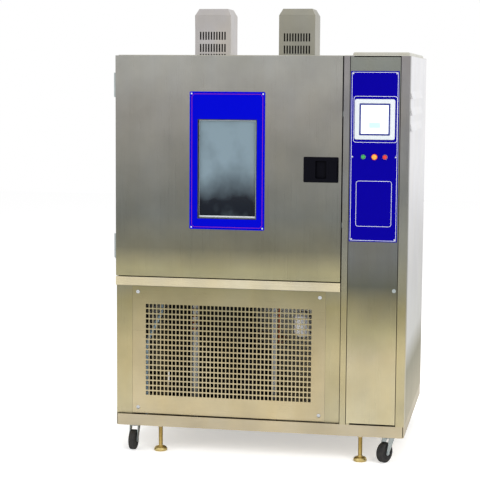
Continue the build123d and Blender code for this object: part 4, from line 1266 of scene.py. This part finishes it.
@dataclass
class DoorSeal:
    """Bulb gasket round the inside of the door."""

    corner: float = 16.0
    least_corner: float = 0.5
    foot: float = 20.0
    foot_height: float = 1.0
    bulb_radius: float = 6.0

    def build(self) -> None:
        """Makes a flat foot with a round bulb on it, run round the door."""
        span = Span.of("door_gasket")
        width, deep, height = span.size
        rise = deep - self.foot_height
        bulb = [(self.foot / 2 + self.bulb_radius * math.cos(a), self.foot_height + rise * math.sin(a))
                for a in np.linspace(math.pi, 0, 9)]
        section = [(0.0, 0.0), (0.0, self.foot_height), *bulb, (self.foot, self.foot_height), (self.foot, 0.0)]
        door = Outline((width, height))
        loops = [door.loop(inset, depth, max(self.corner - inset, self.least_corner))
                 for inset, depth in section]
        seal = bridged(loops, closed=True)
        make_piece("door_seal", seal.facing(Side.BACK, (span.middle[0], span.low[1], span.middle[2])), SEAL,
                   Home("door", "seal", ("door_gasket",)), 50.0)


@dataclass
class Caster:
    """One swivel caster: domed race over a two-legged fork, and a tyred wheel on its axle."""

    place: str
    pin: np.ndarray
    axle: np.ndarray
    tread: float = 24.0
    leg_sheet: float = 3.0
    gap: float = 2.0
    pin_radius: float = 6.0
    pin_rise: float = 10.6
    race_drop: float = 10.8

    def build(self) -> None:
        """Makes the wheel and the fork."""
        wheel, up = Span.of(self.place + "_caster_wheel"), np.array((0.0, 0.0, 1.0))
        out = self.axle / np.linalg.norm(self.axle)
        axes = (np.cross(up, out), up, out)
        radius = wheel.size[2] / 2
        half, hub = self.tread / 2, self.tread / 2 + self.gap - 0.6
        flank = [(4.2, -hub), (10.0, -hub), (10.6, 1.5 - half), (radius - 14.0, 2.5 - half),
                 (radius - 12.5, 0.6 - half)] + arc((radius - 5.0, 5.0 - half), 5.0, -90, 0, 4)
        tyre = revolved(flank + [(r, -h) for r, h in reversed(flank)] + [flank[0]], 40)
        make_piece(self.place + "_tyred_wheel", tyre.placed(axes, wheel.middle), TYRE,
                   Home(self.place + "_wheel", "tyre", (self.place + "_caster_wheel",)), 40.0)
        self.fork(wheel.middle, axes)

    def fork(self, hub: np.ndarray, axes: Sequence[np.ndarray]) -> None:
        """Makes two tapered legs under a domed race, with the axle's nuts and the pin into the base.

        Args:
            hub: the wheel's middle.
            axes: ahead, up and out along the axle.
        """
        ahead, up, out = axes
        race_top = Span.of(self.place + "_caster_fork").high[2] - self.race_drop
        race = revolved([(0.0, -9.0), (20.0, -9.0), (25.0, -7.0), (26.0, -4.5), (26.0, -2.5), (24.5, -1.5),
                         (23.5, 0.0), (self.pin_radius, 0.0), (self.pin_radius, self.pin_rise),
                         (0.0, self.pin_rise)], 32)
        reach = float((np.array([*self.pin, 0.0]) - hub) @ ahead)
        rise = race_top - 2.0 - hub[2]
        outline = ([(-9.0, 0.0)] + arc((0.0, 0.0), 10.0, 200, 340, 4)
                   + [(9.0, 0.0), (reach + 17.0, rise), (reach - 19.0, rise)])
        inside = self.tread / 2 + self.gap
        parts = [race.facing(Side.TOP, (*self.pin, race_top))]
        parts += [extruded(outline, low, low + self.leg_sheet).placed(axes, hub)
                  for low in (inside, -inside - self.leg_sheet)]
        nut = revolved([(0.0, 0.0), (6.5, 0.0), (6.5, 2.4), (4.5, 3.2), (0.0, 3.2)], 6)
        seat = inside + self.leg_sheet - 0.2
        parts += [nut.placed((ahead * sign, up, out * sign), hub + out * sign * seat) for sign in (1.0, -1.0)]
        make_piece(self.place + "_swivel_fork", joined(parts), ZINC,
                   Home(self.place + "_swivel", "zinc", (self.place + "_caster_fork",)))


@dataclass
class Foot:
    """One levelling foot: dished pad, neck and threaded stem."""

    place: str
    thread: float = 2.0
    stem: float = 8.0
    root: float = 7.3
    neck_top: float = 22.0

    def build(self) -> None:
        """Makes the foot as one turned piece; the thread is a row of small ridges."""
        span = Span.of(self.place + "_foot")
        radius, height = span.size[0] / 2, span.size[2]
        profile: list[Pair] = [(0.0, 0.0), (radius - 2.0, 0.0), (radius, 2.0), (radius, 6.0)]
        profile += arc((radius - 11.0, 6.0), 11.0, 0, 70, 6)[1:]
        profile += [(11.0, 17.5), (11.0, 19.0), (self.stem, 20.0)]
        turns = math.ceil((height - 1.0 - self.neck_top) / self.thread) - 1
        ridges = self.neck_top + self.thread * np.arange(turns)
        profile += [pair for z in ridges for pair in ((self.root, z), (self.stem, z + self.thread / 2))]
        profile += [(self.root, self.neck_top + self.thread * turns), (self.root - 0.5, height),
                    (0.0, height)]
        make_piece(self.place + "_levelling_foot",
                   revolved(profile, 28).facing(Side.TOP, (span.middle[0], span.middle[1], span.low[2])),
                   GOLD_ZINC, Home(self.place + "_leveller", "yellow_zinc", (self.place + "_foot",)), 60.0)


@dataclass
class BackScrews:
    """Screw heads along the upright edges of the back panel."""

    inset: float = 14.0
    diameter: float = 8.0
    height: float = 2.0
    pitch: float = 240.0

    def build(self) -> None:
        """Makes a row of heads along each edge."""
        back = Span.of("back_panel")
        head = screw_head(self.diameter, self.height, 12)
        count = int((back.size[2] - 2 * self.inset) // self.pitch) + 1
        levels = np.linspace(back.low[2] + self.inset, back.high[2] - self.inset, count)
        heads = [head.facing(Side.BACK, (x, back.high[1], z))
                 for x in (back.low[0] + self.inset, back.high[0] - self.inset) for z in levels]
        make_piece("back_panel_screws", joined(heads), ZINC, Home("cabinet", "zinc"))


@dataclass(frozen=True)
class SoftLamp:
    """One large soft light: its name, power in watts, width in metres and place in metres."""

    name: str
    power: float
    size: float
    place: Triple


@dataclass
class Studio:
    """Camera, light and floor; lengths are in metres and the lens and sensor in millimetres."""

    lens: float = 112.24
    sensor: float = 36.0
    place: Triple = (0.9639, -5.7679, 1.3917)
    yaw: float = -10.896
    pitch: float = -6.081
    roll: float = -0.3726
    aim: Triple = (0.0, 0.0, 0.8)
    fill_of_world: float = 0.55
    floor_half: float = 12.0
    lamps: tuple[SoftLamp, ...] = (SoftLamp("key", 190.0, 3.0, (3.2, -4.6, 3.4)),
                                   SoftLamp("fill", 80.0, 3.0, (-4.0, -3.6, 2.2)),
                                   SoftLamp("top", 60.0, 3.0, (0.0, 0.4, 4.6)))

    def build(self) -> None:
        """Sets the view, the world, the lights and the floor."""
        self.camera()
        self.world()
        self.lights()
        self.floor()
        bpy.context.scene.view_settings.view_transform = "Standard"

    def camera(self) -> None:
        """The photograph's camera, by its yaw to the right, pitch up and roll, in degrees."""
        yaw, pitch, roll = (math.radians(a) for a in (self.yaw, self.pitch, self.roll))
        forward = Vector((math.sin(yaw) * math.cos(pitch), math.cos(yaw) * math.cos(pitch), math.sin(pitch)))
        right = Vector((math.cos(yaw), -math.sin(yaw), 0.0))
        down = forward.cross(right)
        level = right * math.cos(roll) + down * math.sin(roll)
        upright = right * math.sin(roll) - down * math.cos(roll)
        data = bpy.data.cameras.new("camera")
        data.lens, data.sensor_width, data.clip_end = self.lens, self.sensor, 100.0
        camera = bpy.data.objects.new("camera", data)
        camera.matrix_world = (Matrix.Translation(self.place)
                               @ Matrix((level, upright, -forward)).transposed().to_4x4())
        bpy.context.scene.collection.objects.link(camera)
        bpy.context.scene.camera = camera

    def world(self) -> None:
        """White to the eye and in reflections, dimmer as fill light."""
        world = bpy.data.worlds.new("studio")
        world.use_nodes = True
        tree = world.node_tree
        tree.nodes.clear()
        path = add_node(tree, "LightPath")
        seen = add_node(tree, "Math", {"operation": "MAXIMUM"},
                        {0: path.outputs["Is Camera Ray"], 1: path.outputs["Is Glossy Ray"]})
        strength = add_node(tree, "MapRange", {"To Min": self.fill_of_world, "To Max": 1.0},
                            {"Value": seen.outputs[0]})
        light = add_node(tree, "Background", {"Color": linear("ffffff")}, {"Strength": strength.outputs[0]})
        add_node(tree, "OutputWorld", {}, {"Surface": light.outputs[0]})
        bpy.context.scene.world = world

    def lights(self) -> None:
        """A large soft key from the upper right, a fill from the left and a top light."""
        for soft in self.lamps:
            data = bpy.data.lights.new(soft.name, "AREA")
            data.energy, data.size = soft.power, soft.size
            lamp = bpy.data.objects.new(soft.name, data)
            lamp.location = soft.place
            lamp.rotation_euler = (Vector(self.aim) - Vector(soft.place)).to_track_quat("-Z", "Y").to_euler()
            lamp.visible_glossy = False
            bpy.context.scene.collection.objects.link(lamp)

    def floor(self) -> None:
        """A wide plain floor, pale enough to melt into the background."""
        half = self.floor_half
        mesh = bpy.data.meshes.new("floor")
        mesh.from_pydata([(-half, -half, 0), (half, -half, 0), (half, half, 0), (-half, half, 0)], [],
                         [(0, 1, 2, 3)])
        floor = bpy.data.objects.new("floor", mesh)
        bpy.context.scene.collection.objects.link(floor)
        mesh.materials.append(PaleFloor("pale floor", "fafafa", 1.0).material())
        floor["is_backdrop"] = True


def corners() -> list[list[float]]:
    """The shown object's lowest and highest corner as plain lists."""
    return [[float(v) for v in corner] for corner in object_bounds()]


def main() -> None:
    """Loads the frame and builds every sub-assembly."""
    logging.basicConfig(level=logging.INFO, format="%(message)s")
    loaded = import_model()
    joints = {joint["name"]: joint for joint in loaded["joints"]}
    parts: list[Any] = [Cabinet(loaded["nodes"]), Grille(), Window(), Handle(), Controls(), RoofCovers(),
                        DoorSeal(), BackScrews()]
    for place in CASTER_PLACES:
        pin = np.array(joints[place + "_swivel_turn"]["pos_m"][:2]) / MM
        parts += [Caster(place, pin, np.array(joints[place + "_wheel_roll"]["axis"], float)), Foot(place)]
    for part in parts + [Studio()]:
        part.build()
        LOG.info("%s built", type(part).__name__)


if __name__ == "__main__":
    main()
